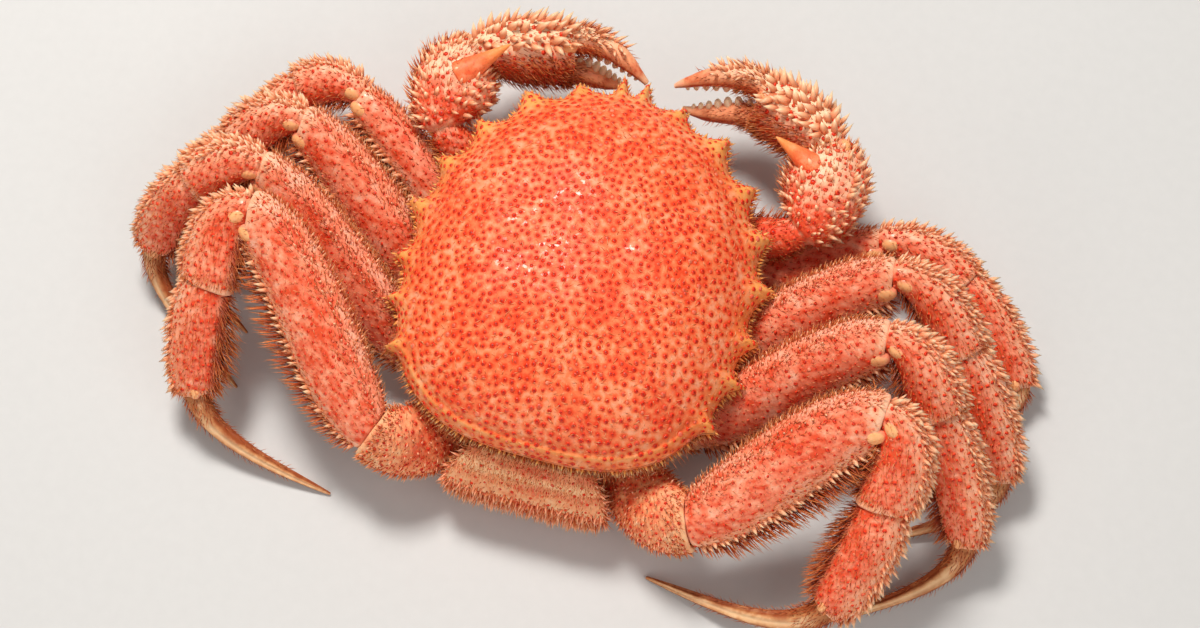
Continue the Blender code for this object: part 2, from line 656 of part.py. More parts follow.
def eye_bodies(side):
    """The eye and its stalk."""
    ball = bmesh.new()
    around, down = EYE_SEGMENTS
    bmesh.ops.create_uvsphere(ball, u_segments=around, v_segments=down, radius=EYE_RADIUS)
    bmesh.ops.translate(ball, vec=mirrored(EYE_AT, side), verts=ball.verts)
    along = mirrored(EYE_AT, side) - mirrored(STALK_FROM, side)
    flat = Vector((0, 0, 1))
    ends = (mirrored(STALK_FROM, side), mirrored(EYE_AT, side))
    rings = [ring_place(end, along, flat, STALK_RADIUS, STALK_RADIUS) for end in ends]
    return [ball, loft(rings, STALK_SIDES)]


def feeler_body(side):
    start, end = mirrored(FEELER_FROM, side), mirrored(FEELER_TO, side)
    along, flat = end - start, Vector((0, 0, 1))
    rings = [ring_place(start.lerp(end, t), along, flat, r, r) for t, r in FEELER_RINGS]
    return loft(rings, FEELER_SIDES)


def jaw_body(side):
    start, end = mirrored(JAW_FROM, side), mirrored(JAW_TO, side)
    along, flat = end - start, Vector((1, 0, 0))
    rings = [ring_place(start.lerp(end, t), along, flat, a, b) for t, a, b in JAW_RINGS]
    return loft(rings, JAW_SIDES, JAW_SQUARENESS)


def make_object(name, bm):
    """An object in the scene from a mesh in millimetres, nothing of it below the floor."""
    for vert in bm.verts:
        vert.co.z = max(vert.co.z, 0.0)
    bmesh.ops.recalc_face_normals(bm, faces=bm.faces)
    mesh = bpy.data.meshes.new(name)
    bm.to_mesh(mesh)
    bm.free()
    obj = bpy.data.objects.new(name, mesh)
    bpy.context.scene.collection.objects.link(obj)
    return obj


def largest_surface(bm):
    """Remove all but the largest connected surface."""
    groups, seen = [], set()
    for vert in bm.verts:
        if vert in seen:
            continue
        group, front = [], [vert]
        seen.add(vert)
        while front:
            here = front.pop()
            group.append(here)
            for edge in here.link_edges:
                other = edge.other_vert(here)
                if other not in seen:
                    seen.add(other)
                    front.append(other)
        groups.append(group)
    keep = max(groups, key=len)
    loose = [vert for group in groups if group is not keep for vert in group]
    bmesh.ops.delete(bm, geom=loose, context="VERTS")


def join(obj, additions):
    """Unite a body with what grows from it."""
    if not additions:
        return
    parts = bpy.data.collections.new(f"{obj.name}_growths")
    for i, bm in enumerate(additions):
        bmesh.ops.recalc_face_normals(bm, faces=bm.faces)
        mesh = bpy.data.meshes.new(f"{obj.name}_growth_{i}")
        bm.to_mesh(mesh)
        bm.free()
        parts.objects.link(bpy.data.objects.new(mesh.name, mesh))
    bpy.context.scene.collection.children.link(parts)
    union = obj.modifiers.new("growths", "BOOLEAN")
    union.operation = "UNION"
    union.operand_type = "COLLECTION"
    union.collection = parts
    union.solver = "EXACT"
    graph = bpy.context.evaluated_depsgraph_get()
    united = bpy.data.meshes.new_from_object(obj.evaluated_get(graph))
    obj.modifiers.clear()
    bm = bmesh.new()
    bm.from_mesh(united)
    largest_surface(bm)
    bm.to_mesh(united)
    bm.free()
    obj.data = united
    for part in list(parts.objects):
        bpy.data.objects.remove(part)
    bpy.data.collections.remove(parts)


def finish(parts):
    """Move everything so that the middle of its box stands over the origin, in metres."""
    corners = [vert.co for obj, _ in parts for vert in obj.data.vertices]
    low = Vector(min(c[i] for c in corners) for i in range(3))
    high = Vector(max(c[i] for c in corners) for i in range(3))
    middle = Vector(((low.x + high.x) / 2, (low.y + high.y) / 2, 0.0))
    for obj, look in parts:
        obj.data.transform(Matrix.Scale(MM, 4) @ Matrix.Translation(-middle))
        obj.data.materials.clear()
        obj.data.materials.append(paint(obj.name, look))
        obj.data.shade_smooth()
        obj.data.set_sharp_from_angle(angle=math.radians(SMOOTH_ANGLE))


def leg_look(part):
    return {"hip": "underside", "dactyl": "toe"}.get(part, "leg")


def plan_bodies():
    """Every part's name, look, body, what is united with it, and the bristles it may carry."""
    plan = [("shell", "shell", shell_body(), list(shell_teeth()), shell_bristles)]
    plan.append(("breast", "underside", breast_body(), [breast_pad()], None))
    plan.append(("belly_flap", "underside", flap_body(), [], flap_bristles))
    for side, word in ((-1, "left"), (1, "right")):
        ball, stalk = eye_bodies(side)
        plan.append((f"eye_{word}", "eye", ball, [stalk], None))
        plan.append((f"feeler_{word}", "leg", feeler_body(side), [], None))
        plan.append((f"jaw_{word}", "underside", jaw_body(side), [], None))
    for name in LEG_JOINTS:
        for part, limb in leg_limbs(name).items():
            rows = LEG_ROWS.get(part, ()) if part != "hip" or name.startswith(BRISTLY_HIP) else ()
            body = limb.body(DACTYL_SIDES if part == "dactyl" else LIMB_SIDES)
            plan.append((f"{name}_{part}", leg_look(part), body, [], limb_bristles(limb, rows)))
    for name in CLAW_JOINTS:
        limbs = claw_limbs(name)
        fixed = limbs.pop("fixed")
        for part, limb in limbs.items():
            solids = []
            bristles = [limb_bristles(limb, CLAW_ROWS.get(part, ()))]
            if part == "palm":
                solids.append(fixed.body(LIMB_SIDES))
                bristles += [limb_bristles(fixed, CLAW_ROWS["fixed"]), limb_teeth(fixed, "fixed")]
            if part == "finger":
                bristles.append(limb_teeth(limb, part))
            if part == "wrist":
                root, tip = (Vector(point) for point in CORNER_SPINES[name])
                solids.append(cone(root, tip, CORNER_RADIUS, CORNER_SIDES))
            body = limb.body(HAND_SIDES if part in ("wrist", "palm") else LIMB_SIDES)
            plan.append((f"{name}_{part}", "claw", body, solids, all_of(bristles)))
    return plan


def limb_bristles(limb, rows):
    def bristles(chance):
        for row in rows:
            yield from row_bristles(limb, row, FORWARD_LEAN, chance)
    return bristles


def limb_teeth(limb, part):
    def teeth(chance):
        yield from row_bristles(limb, FINGER_TEETH[part], 0.0, chance)
    return teeth


def all_of(sources):
    def bristles(chance):
        for source in sources:
            yield from source(chance)
    return bristles


def build():
    clear_scene()
    plan = plan_bodies()
    solids = [(name, bm) for name, _, body, more, _ in plan for bm in (body, *more)]
    surroundings = Surroundings(solids)
    parts = []
    for name, look, body, more, bristles in plan:
        growths = list(more)
        if bristles:
            chance = random.Random(name)
            grown = (surroundings.grow(name, *bristle) for bristle in bristles(chance))
            growths += [bm for bm in grown if bm]
        obj = make_object(name, body)
        join(obj, growths)
        parts.append((obj, look))
    finish(parts)


build()
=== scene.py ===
"""Boiled horsehair crab: its shell plates, its bristly coat and a plain studio round it.

Points of the crab are given in millimetres in its own frame: +X to its right, +Y to its front, +Z up,
with the floor at zero and the middle of the shell over the origin. Meshes are made in metres.
"""

import math

import bpy
import numpy as np
from bpy.props import FloatProperty, FloatVectorProperty, IntProperty, PointerProperty
from mathutils import Matrix, Vector
from mathutils.kdtree import KDTree


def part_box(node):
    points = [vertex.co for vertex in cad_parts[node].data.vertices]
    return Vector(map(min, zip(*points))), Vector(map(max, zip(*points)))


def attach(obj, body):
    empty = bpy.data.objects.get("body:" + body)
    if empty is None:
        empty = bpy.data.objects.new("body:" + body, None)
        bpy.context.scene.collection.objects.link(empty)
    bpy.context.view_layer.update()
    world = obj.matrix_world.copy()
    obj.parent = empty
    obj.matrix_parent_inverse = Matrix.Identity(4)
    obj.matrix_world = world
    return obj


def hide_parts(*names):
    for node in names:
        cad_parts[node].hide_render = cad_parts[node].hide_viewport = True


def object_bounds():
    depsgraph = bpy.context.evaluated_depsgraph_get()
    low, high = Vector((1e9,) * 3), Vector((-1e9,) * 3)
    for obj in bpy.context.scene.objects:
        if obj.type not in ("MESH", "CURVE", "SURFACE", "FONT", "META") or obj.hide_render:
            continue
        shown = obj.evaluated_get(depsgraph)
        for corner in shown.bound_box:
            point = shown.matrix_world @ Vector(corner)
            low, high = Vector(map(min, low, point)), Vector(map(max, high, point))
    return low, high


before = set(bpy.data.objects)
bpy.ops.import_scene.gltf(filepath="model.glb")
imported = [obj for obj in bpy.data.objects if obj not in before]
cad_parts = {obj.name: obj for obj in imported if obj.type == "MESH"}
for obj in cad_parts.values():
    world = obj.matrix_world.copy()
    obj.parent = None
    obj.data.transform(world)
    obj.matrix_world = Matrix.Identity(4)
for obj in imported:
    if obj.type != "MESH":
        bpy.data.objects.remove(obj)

bl_info = {
    "name": "Boiled horsehair crab",
    "version": (1, 0, 0),
    "blender": (4, 5, 0),
    "location": "3D View > Sidebar > Crab",
    "description": "Dresses a packed crab with fine shell plates, bristles and a studio",
    "category": "Add Mesh",
}

MM = 0.001
# Points nearer to each other than this, in metres, count as level when a mesh is put in order
SORTING_STEP = 1e-6
PACKED_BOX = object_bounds()

# The breast plate's front edge, which ties the crab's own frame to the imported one
BREAST_FRONT = 32.85
LOW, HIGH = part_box("breast")
ORIGIN = Vector(((LOW.x + HIGH.x) / 2, HIGH.y - BREAST_FRONT * MM, 0.0))

# Shell: one curve in front of its widest line and a squarer one behind it
SHELL_HALF_WIDTH = 43.8
SHELL_FRONT = 48.5
SHELL_REAR = 50.5
FRONT_POWER = 1.85
REAR_POWER = 2.9
RIM_Z = 29.0
DOME_HEIGHT = 20.5
DOME_POWER = 2.6
DOME_ROUNDING = 0.60
# The dome's sculpture, in shares of the outline and millimetres: where points count as the top, how
# its swellings fade at the rim, and how far in the teeth push it above and below the rim
RIM_SLACK = 0.15
SWELLING_FADE = (0.02, 0.2)
PUSH_FROM = (0.90, 0.88)
# The groove and the ridge along the rear: places, width, depth and height, and where the rear starts
REAR_GROOVE = 0.945
REAR_RIDGE = 0.967
GROOVE_WIDTH = 0.010
GROOVE_DEPTH = 0.45
RIDGE_HEIGHT = 0.40
REAR_SPAN = (22.0, 36.0)
# How creamy the teeth, the band along the rim and the ridge are, and how the middle blushes
TOOTH_CREAM = 0.8
TOOTH_CREAM_SPAN = (0.3, 2.5)
BAND_CREAM = 0.38
BAND_SPAN = (0.90, 0.97)
BAND_HEIGHT = 1.5
BAND_LESS_BEHIND = 0.6
RIDGE_CREAM = 0.5
MIDDLE_BLUSH = 0.1
MIDDLE_SPAN = (0.5, 0.0)
FLANK_BLUSH = -0.1
FLANK_RINGS = ((0.70, 19.7), (0.78, 20.1), (0.86, 21.7), (0.93, 24.4), (0.975, 26.8), (0.994, 28.2))
DOME_SHARES = (0.99, 0.97, 0.94, 0.89, 0.82, 0.73, 0.62, 0.50, 0.38)
GRID_SPAN = 18
# Rim teeth of one side: tip across and ahead, heading, length and root width
RIM_TEETH = (
    (3.3, 53.2, 6, 7.5, 7.0), (13.9, 48.6, 24, 7.5, 14.0), (26.8, 43.2, 36, 8.5, 18.0),
    (36.6, 32.0, 48, 8.0, 16.0), (43.4, 19.8, 60, 7.5, 14.5), (47.4, 6.3, 72, 7.5, 12.5),
    (47.0, -8.3, 82, 6.5, 9.5), (45.8, -19.8, 90, 6.0, 8.5), (42.2, -32.5, 108, 6.0, 8.0),
)
# Each tooth is a broad foot with a narrower cusp on it: shares, widths and sharpness
TOOTH_SHARES = (0.62, 0.38)
TOOTH_CUSP = 0.42
TOOTH_SHARPNESS = 1.4
TOOTH_EXTRA = 0.7
TOOTH_LEAST_HALF = 3.0
TOOTH_BEHIND = 2.5
TOOTH_STEPS = 40
# Swellings and hollows of the dome: across, ahead, radius and height; those off the middle are doubled
SWELLINGS = (
    (0.0, 17.0, 9.0, 0.9), (11.0, 24.0, 7.0, 0.7), (0.0, -15.0, 8.0, 0.8), (25.0, 4.0, 9.0, 0.7),
    (23.0, -16.0, 9.0, 0.7), (9.0, 3.0, 4.0, -0.8), (13.0, -6.0, 4.5, -0.6), (18.0, 11.0, 4.5, -0.6),
    (11.0, -24.0, 5.0, -0.5), (0.0, -32.0, 5.0, 0.4), (30.0, 18.0, 6.0, 0.5), (20.0, -34.0, 7.0, 0.5),
)

# Where the limbs of one side leave the body: claw first, then the legs
SOCKETS = (
    (17.5, 20.5, 64.0), (23.0, 6.0, 75.0), (25.3, -9.0, 87.0), (24.3, -24.0, 102.0),
    (19.5, -41.0, 126.0),
)
SOCKET_Z = 10.6
# Belly flap: along its middle, (ahead, height, half width, half thickness)
FLAP_STATIONS = (
    (-49.4, 24.8, 16.0, 2.0), (-53.6, 21.0, 19.5, 2.3), (-57.0, 15.0, 21.5, 2.5),
    (-57.0, 8.0, 20.5, 2.3), (-51.5, 2.8, 17.5, 1.7), (-45.5, 1.8, 15.5, 1.7),
    (-22.0, 1.8, 11.0, 1.8), (-6.5, 1.8, 5.5, 1.8),
)

# Walking legs, front pair first: flat and thin sizes of merus, carpus and propodus, dactyl root
LEG_FLAT = ((13.5, 13.0, 12.0), (17.0, 14.5, 13.5), (18.0, 15.5, 14.5), (20.5, 16.5, 15.5))
LEG_THIN = ((9.8, 10.2, 9.2), (10.2, 10.6, 9.6), (10.4, 10.8, 9.8), (11.2, 11.0, 10.2))
DACTYL_ROOT = (6.6, 6.8, 7.0, 7.4)
DACTYL_THIN = 0.85
# Where each leg's joints lie: merus root, knee, wrist, ankle and tip
LEG_JOINTS = {
    "leg1_left": ((-31, 7.5, 10), (-70.5, 35, 18), (-87, 34, 17), (-98, 15, 7), (-78, -7, 0.3)),
    "leg2_left": ((-36, -10, 13.5), (-80, 19, 31), (-96, 12, 26), (-109, -7, 9), (-84, -30, 0.3)),
    "leg3_left": ((-37, -28, 14.5), (-85, 2, 38), (-101, -4, 34), (-112, -17, 12), (-82, -45, 0.3)),
    "leg4_left": ((-41, -52, 22), (-83, -11, 40), (-91, -28, 30), (-89, -52, 13), (-50, -66, 0.3)),
    "leg1_right": ((31, 7.2, 9.6), (71, 31, 16), (95, 26, 17), (115, 6, 7), (92, -16, 0.3)),
    "leg2_right": ((36, -10, 13.5), (76, 16, 35), (98, 4, 28), (115, -20, 9), (88, -42, 0.3)),
    "leg3_right": ((37, -28, 13.5), (78, -3, 42), (95, -15, 34), (110, -39, 11), (80, -66, 0.3)),
    "leg4_right": ((42, -54, 21), (81, -23, 44), (87, -41, 32), (80, -65, 15), (34, -66, 0.3)),
}
REAR_LEG = "leg4"
# Shares of the ways before and after each joint that make the way through it
HIP_BLEND = (0.5, 1.0)
KNEE_BLEND = (1.1, 0.9)
WRIST_BLEND = (1.0, 1.0)
ANKLE_BLEND = (1.4, 0.6)
TIP_BLEND = (-0.3, 1.5)
# How far each part runs straight out of its joints, as a share of its length
LEG_HANDLES = {"hip": 0.35, "merus": 0.18, "carpus": 0.30, "propodus": 0.22, "dactyl": 0.30}

# Claws: elbow, wrist, knuckle, tips of the fixed and the moving finger, and the hand's crest way
CLAW_JOINTS = {
    "claw_left": ((-46, 31.5, 23), (-42, 51.5, 26), (-19, 59.5, 24), (-3.5, 57.5, 17), (2, 56.5, 24)),
    "claw_right": ((50.5, 27, 24.5), (52, 48.5, 28), (33, 58.5, 25), (12, 55.5, 16), (9, 58, 23)),
}
CREST_WAY = (0.0, 0.60, 0.80)
CLAW_HIP = (11.0, 10.0)
CLAW_HIP_REACH = 8.0
CLAW_HIP_RISE = 3.2
CLAW_ARM = (11.5, 10.0)
CLAW_WRIST = (22.0, 17.0)
CLAW_HAND = (19.0, 12.5)
FINGER_ROOT = (8.2, 7.6)
FINGER_APART = 4.5
CLAW_HANDLE = 0.3
FINGER_HANDLE = 0.4
MOVING_HOOK = 0.5
FIXED_HOOK = 0.3
FIXED_DEPTH = 4.0
# The spine at the wrist's inner front corner: its root and tip
CORNER_SPINES = {
    "claw_left": ((-43.5, 44.5, 31.5), (-33.5, 52.5, 37.0)),
    "claw_right": ((49.0, 42.0, 32.0), (38.5, 45.8, 35.5)),
}

CORNER_SPINE_SHAPE = (
    (-0.2, 5.0), (-0.04, 4.1), (0.25, 2.9), (0.5, 2.0), (0.75, 1.15), (0.93, 0.5), (1.0, 0.15),
)

# How the thickness of each limb runs: place along it, share of its flat and of its thin size
PROFILES = {
    "hip": ((0.0, 0.60, 0.80), (0.35, 0.66, 0.90), (0.7, 0.72, 0.92), (1.0, 0.70, 0.84)),
    "rear_hip": ((0.0, 0.64, 1.0), (0.35, 0.92, 1.3), (0.7, 0.96, 1.2), (1.0, 0.78, 0.94)),
    "merus": (
        (0.0, 0.66, 0.82), (0.14, 0.86, 0.95), (0.35, 1.0, 1.0), (0.60, 0.98, 1.0),
        (0.84, 0.86, 0.98), (1.0, 0.70, 0.84),
    ),
    "carpus": (
        (0.0, 0.50, 0.76), (0.2, 0.70, 0.94), (0.5, 0.93, 1.0), (0.8, 1.0, 1.0), (1.0, 0.92, 0.94),
    ),
    "propodus": (
        (0.0, 0.82, 0.88), (0.2, 0.98, 1.0), (0.5, 1.0, 1.0), (0.8, 0.90, 0.92), (1.0, 0.66, 0.72),
    ),
    "dactyl": (
        (0.0, 1.0, 0.92), (0.12, 0.92, 0.86), (0.3, 0.76, 0.74), (0.5, 0.60, 0.60), (0.7, 0.44, 0.46),
        (0.88, 0.28, 0.30), (1.0, 0.10, 0.11),
    ),
    "wrist": (
        (0.0, 0.56, 0.64), (0.18, 0.82, 0.86), (0.45, 1.0, 1.0), (0.75, 1.0, 1.0), (1.0, 0.66, 0.72),
    ),
    "palm": ((0.0, 0.58, 0.70), (0.2, 0.86, 0.94), (0.5, 1.0, 1.0), (0.8, 1.0, 0.96), (1.0, 0.94, 0.86)),
    "finger": (
        (0.0, 1.0, 0.96), (0.25, 0.90, 0.88), (0.5, 0.74, 0.74), (0.75, 0.54, 0.56), (1.0, 0.16, 0.18),
    ),
}
CARPUS_LEAN = 0.5
# Rings at a limb's ends: place along it, shift in millimetres and share of the size
NECK_RINGS = ((0.0, -2.2, 0.66), (0.0, -0.4, 0.74), (0.0, 0.1, 0.93))
CUP_RINGS = ((0.98, 0.0, 1.01), (1.0, -0.3, 0.99), (1.0, 0.1, 0.92), (1.0, 0.0, 0.84), (1.0, -2.0, 0.78))
POINT_RINGS = ((0.99, 0.0, 1.0), (1.0, -0.05, 1.0))
POINTED = ("dactyl", "finger", "fixed")
SKIN_SPAN = (0.03, 0.97)
SKIN_GRAIN = 3.5
# Grooves round a toe, and where along it they deepen and end
TOE_GROOVES = 6.0
TOE_GROOVE_SPAN = (0.05, 0.25)
TOE_GROOVE_END = (0.02, 0.2)
# Places along a limb that points are measured to, and how many points are measured at a time
LIMB_PLACES = 60
BATCH = 4096
# How near the floor a skin may come, in millimetres
FLOOR_GAP = 0.02
FLAP_FLOOR_GAP = 0.03
# Creamy bands of the limbs' skin: how strong, and the span over which each place on the skin makes
# them rise; the outer bands of the carpus and the propodus are partly cream and partly painted light
# on their upward outer faces. Places: along the limb and short of its end, inner, outer and aside,
# back and under
PALE_END = (0.75, {"along": (0.88, 0.99)})
CREAM_AND_PAINTED_LIGHT_BANDS = {
    "hip": ((0.45, {"along": (0.55, 0.95), "back": (-0.4, 0.5)}),),
    "merus": (PALE_END, (0.75, {"inner": (0.45, 0.8), "back": (-0.3, 0.3)})),
    # Carpus and propodus: the outer band is partly the cream of the spiny margin and partly painted
    # light, paler on the upward outer faces
    "carpus": (PALE_END, (0.68, {"outer": (-0.1, 0.9)})),
    "propodus": (PALE_END, (0.72, {"outer": (-0.1, 0.9)})),
    "dactyl": ((0.9, {"back": (0.0, 0.5), "along": (0.08, 0.2), "short": (0.0, 0.15)}),),
    "arm": ((0.0, {}),),
    "wrist": ((0.55, {"back": (0.0, 0.9), "along": (0.2, 0.75)}),),
    "palm": ((1.0, {"inner": (0.0, 0.7)}),),
    "finger": ((0.9, {"inner": (0.0, 0.7), "along": (0.75, 0.35)}),),
    "fixed": ((0.2, {"outer": (0.35, 0.95)}),),
}
UNDER_CREAM = (0.25, {"under": (0.1, 0.8)})
TIP_CREAM = (0.6, {"along": (0.86, 0.96)})
TOE_STRIPE = 0.32
# Blushing bands in the same way, added up
UNDER_BLUSH = (-0.15, {"under": (0.1, 0.8)})
INNER_BLUSH = (0.2, {"inner": (-0.2, 0.9)})
OUTER_BLUSH = (0.8, {"outer": (-0.1, 0.5)})
BLUSH_BANDS = {
    "hip": (UNDER_BLUSH,),
    "merus": (UNDER_BLUSH,),
    "carpus": (INNER_BLUSH, UNDER_BLUSH),
    "propodus": (INNER_BLUSH, UNDER_BLUSH),
    "dactyl": ((0.5, {"aside": (0.4, 0.9)}), (-0.1, {})),
    "arm": ((0.45, {}),),
    "wrist": ((0.40, {"along": (0.65, 0.1)}), (0.15, {"under": (-0.2, 0.6)})),
    "palm": (OUTER_BLUSH,),
    "finger": (OUTER_BLUSH,),
    "fixed": (OUTER_BLUSH,),
}
# Breast plate: its rear edge, how many points go round it and the middle that its rings shrink to
BREAST_REAR = -46.5
BREAST_POINTS = 64
BREAST_MIDDLE = -7.0
# Rings of the breast plate from the middle of its underside to the middle of its top: share and height
BREAST_RINGS = (
    (0.22, 4.6), (0.45, 4.4), (0.68, 4.2), (0.86, 4.1), (0.955, 4.5), (0.995, 6.0), (1.0, 11.0),
    (0.995, 17.2), (0.95, 19.0), (0.70, 19.2), (0.35, 19.2),
)
# The breast's seams slant back from its middle; they and the channel that takes the flap, in millimetres
UNDER_SPAN = (0.3, 0.9)
SEAM_SLANT = 0.25
SEAM_WIDTH = 0.9
SEAM_DEPTH = 0.9
SEAM_SPAN = (3.0, 8.0)
CHANNEL_HALF = (3.0, 0.16)
CHANNEL_DEPTH = 0.5
BREAST_TINT = 0.35
# The boss that the crab rests on: half its width, its front and its rear, and rings of height and size
BREAST_PAD = (14.0, 26.0, -2.0)
PAD_RINGS = ((0.02, 0.62), (0.10, 0.80), (0.7, 0.95), (2.4, 1.04), (6.0, 1.12))
# Each segment of the belly flap: place within it, share of its width and of its thickness
SEGMENT_SHAPE = ((0.02, 0.955, 0.66), (0.10, 1.0, 0.95), (0.5, 1.0, 1.06), (0.90, 1.0, 1.0))
FLAP_END = (0.8, 0.7)
FLAP_SQUARENESS = 0.62
FLAP_GRAIN = (4.0, 0.3)
# Its seams and the lip above each: how many stand behind that line, how wide and how far up they are
FLAP_SEAMS = 4
FLAP_SEAMS_BEHIND = -44.0
FLAP_GROOVE_WIDTH = 0.8
FLAP_LIP = (1.8, 1.0)
# Eyes, feelers, mouth plates and palps of the right side: their ends, and rings along them
EYE_AT = (10.3, 46.0, 23.5)
EYE_RADIUS = 2.0
EYE_SHAPE = (0.92, 1.0, 0.94)
EYE_FORWARD = 0.15
STALK_FROM = (8.4, 43.4, 22.2)
STALK_RADIUS = 1.3
STALK_SHAPE = ((-0.1, 1.05), (0.15, 1.1), (0.4, 0.95), (0.6, 1.15), (0.8, 1.45), (1.0, 1.5))
FEELER_FROM = (4.4, 42.1, 20.3)
FEELER_TO = (21.0, 39.0, 18.4)
FEELER_ROOT = (
    (0.0, 1.15), (0.03, 1.4), (0.13, 1.35), (0.16, 1.1), (0.18, 1.28), (0.27, 1.15), (0.30, 0.75),
)
# The whip's joints: how many, where they start, how far they reach, their first size and its loss
WHIP_JOINTS = 16
WHIP_START = 0.31
WHIP_REACH = 0.69
WHIP_SIZE = 0.78
WHIP_LOSS = 0.46
WHIP_WAIST = 0.84
WHIP_STEP = 0.022
JAW_FROM = (4.35, 35.2, 4.4)
JAW_TO = (4.35, 37.0, 18.6)
JAW_RINGS = (
    (0.0, 2.2, 1.0), (0.03, 3.0, 1.4), (0.20, 3.9, 1.8), (0.40, 4.15, 1.9), (0.53, 4.05, 1.85),
    (0.57, 3.7, 1.55), (0.61, 4.0, 1.8), (0.75, 4.1, 1.85), (0.90, 3.6, 1.7), (0.97, 2.9, 1.45),
    (1.0, 2.2, 1.0),
)
JAW_CREASE = 12.6
JAW_CREASE_WIDTH = 0.5
JAW_SQUARENESS = 0.8
JAW_GRAIN = (2.5, 0.2)
PALP_FROM = (7.4, 37.2, 17.4)
PALP_TO = (1.7, 38.4, 11.8)
PALP_SHAPE = (
    (0.0, 0.75), (0.05, 1.0), (0.28, 1.05), (0.33, 0.78), (0.38, 1.0), (0.60, 0.95), (0.65, 0.68),
    (0.70, 0.85), (0.88, 0.62), (1.0, 0.25),
)
# Knobs at a leg's joints: part, place along, turn round it, and sizes along, across and deep
LEG_KNOBS = (
    ("merus", 0.93, 62, (6.2, 5.2, 4.2)), ("merus", 0.93, -62, (6.0, 5.0, 4.2)),
    ("carpus", 0.15, 70, (5.6, 4.6, 4.0)), ("propodus", 0.94, 70, (4.0, 3.4, 3.0)),
)
# The same for a claw
CLAW_KNOBS = (("wrist", 0.93, 120, (5.0, 4.4, 3.6)), ("palm", 0.93, 60, (4.6, 4.0, 3.2)))
KNOB_SINK = 0.34
KNOB_BLUSH = 1.1
KNOB_BLUSH_SPAN = (0.05, 0.6)
# A bead's rings reach this many degrees from its middle to both ends
BEAD_END = 72
# Blunt teeth along the fingers' meeting edges: place along and size
FINGER_TEETH = ((0.24, 2.4), (0.36, 3.0), (0.48, 3.2), (0.60, 3.0), (0.71, 2.6), (0.81, 2.2), (0.89, 1.7))
FINGER_TOOTH_SHAPE = (1.2, 1.0, 0.8)
BITING_TURN = {"finger": 180, "fixed": 0}
# Forms of the coat: sides, and rows of (share of the length, share of the radius) below the tip
FORMS = {
    "hair": (3, ((-0.08, 1.0), (0.50, 0.80))),
    "fringe": (3, ((-0.04, 1.0), (0.33, 0.95), (0.70, 0.65))),
    "wart": (6, ((-0.50, 1.10), (0.55, 0.72))),
    "spine": (6, ((-0.25, 1.05), (0.45, 0.62))),
}
KINDS = {"hair": 0.0, "fringe": 0.0, "wart": 0.5, "spine": 1.0}
# The skin between the warts pales by this share of their blush
REDDEN_LEVEL = 0.27
# Size of a tuft's patch on the coat's map
PATCH = 0.003
PATCH_TAPER = 0.9
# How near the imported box's sides a tip may come in millimetres, and the least share of its length
BOX_MARGIN = 0.15
LEAST_ROOM = 0.25
# Tries for each square of the spacing when points are spread
TRIES = 4.0
# How much lengths, radii, tones and ways vary
LENGTH_SPREAD = 0.3
RADIUS_SPREAD = 0.3
TONE_SPREAD = 0.15
WAY_SPREAD = 0.25
# The same on the limbs, where warts vary more
LIMB_TONE_SPREAD = {"wart": 0.22, "hair": 0.14, "fringe": 0.14, "spine": 0.14}
WART_RADIUS_SPREAD = 0.4
# How far the skin blushes round a limb's warts in millimetres, and how much
LIMB_BLUSH = (1.05, 0.75)
# A fringe's length at a limb's ends, as a share of its length at the middle
FRINGE_ENDS = 0.45
# What grows on a limb: form, spacing, where, length, radius, lean towards the tip, bend and tone
LEG_COAT = {
    "hip": (
        ("wart", 1.70, "all", 0.28, 0.46, 0.3, 0.2, 0.5),
        ("hair", 0.95, "all", 2.1, 0.12, 0.4, 0.5, 0.5),
        ("spine", 1.70, "all", 1.8, 0.32, 0.4, 0.3, 0.3),
        ("fringe", 0.80, "rim", 2.8, 0.14, 0.9, 0.4, 0.5),
    ),
    "merus": (
        ("wart", 1.70, "faces", 0.17, 0.44, 0.5, 0.3, 0.50),
        ("hair", 1.35, "faces", 1.6, 0.09, 0.8, 0.6, 0.7),
        ("hair", 1.00, "flanks", 2.5, 0.10, 0.8, 0.5, 0.4),
        ("spine", 1.30, "inner_edge", 2.3, 0.68, 0.35, 0.3, 0.85),
        ("spine", 1.45, "outer", 1.3, 0.36, 0.4, 0.3, 0.45),
        ("fringe", 0.60, "inner", 6.2, 0.17, 0.25, 0.30, 0.17),
        ("fringe", 1.00, "outer", 2.6, 0.10, 0.5, 0.4, 0.4),
    ),
    "carpus": (
        ("wart", 1.50, "faces", 0.22, 0.50, 0.4, 0.3, 0.52),
        ("hair", 0.98, "faces", 1.8, 0.11, 0.6, 0.5, 0.55),
        ("spine", 1.30, "outer", 1.9, 0.52, 0.5, 0.3, 0.70),
        ("spine", 2.00, "margin", 2.6, 0.82, 0.45, 0.3, 0.80),
        ("fringe", 1.00, "outer", 2.5, 0.11, 0.6, 0.4, 0.5),
        ("fringe", 0.58, "inner", 4.4, 0.13, 0.4, 0.4, 0.15),
        ("hair", 0.80, "rim", 1.8, 0.11, 0.9, 0.4, 0.5),
    ),
    "propodus": (
        ("wart", 1.50, "faces", 0.22, 0.50, 0.4, 0.3, 0.50),
        ("hair", 0.95, "faces", 1.8, 0.11, 0.6, 0.5, 0.5),
        ("spine", 1.30, "outer", 1.9, 0.50, 0.5, 0.3, 0.70),
        ("spine", 2.00, "margin", 2.6, 0.80, 0.45, 0.3, 0.80),
        ("fringe", 1.00, "outer", 2.5, 0.11, 0.6, 0.4, 0.45),
        ("fringe", 0.52, "inner", 5.6, 0.13, 0.40, 0.4, 0.15),
        ("hair", 0.70, "rim", 2.2, 0.11, 0.9, 0.4, 0.35),
    ),
    "dactyl": (
        ("hair", 0.70, "root", 2.4, 0.10, 0.8, 0.5, 0.25),
        ("hair", 0.70, "rows", 1.7, 0.09, 0.8, 0.5, 0.25),
    ),
}
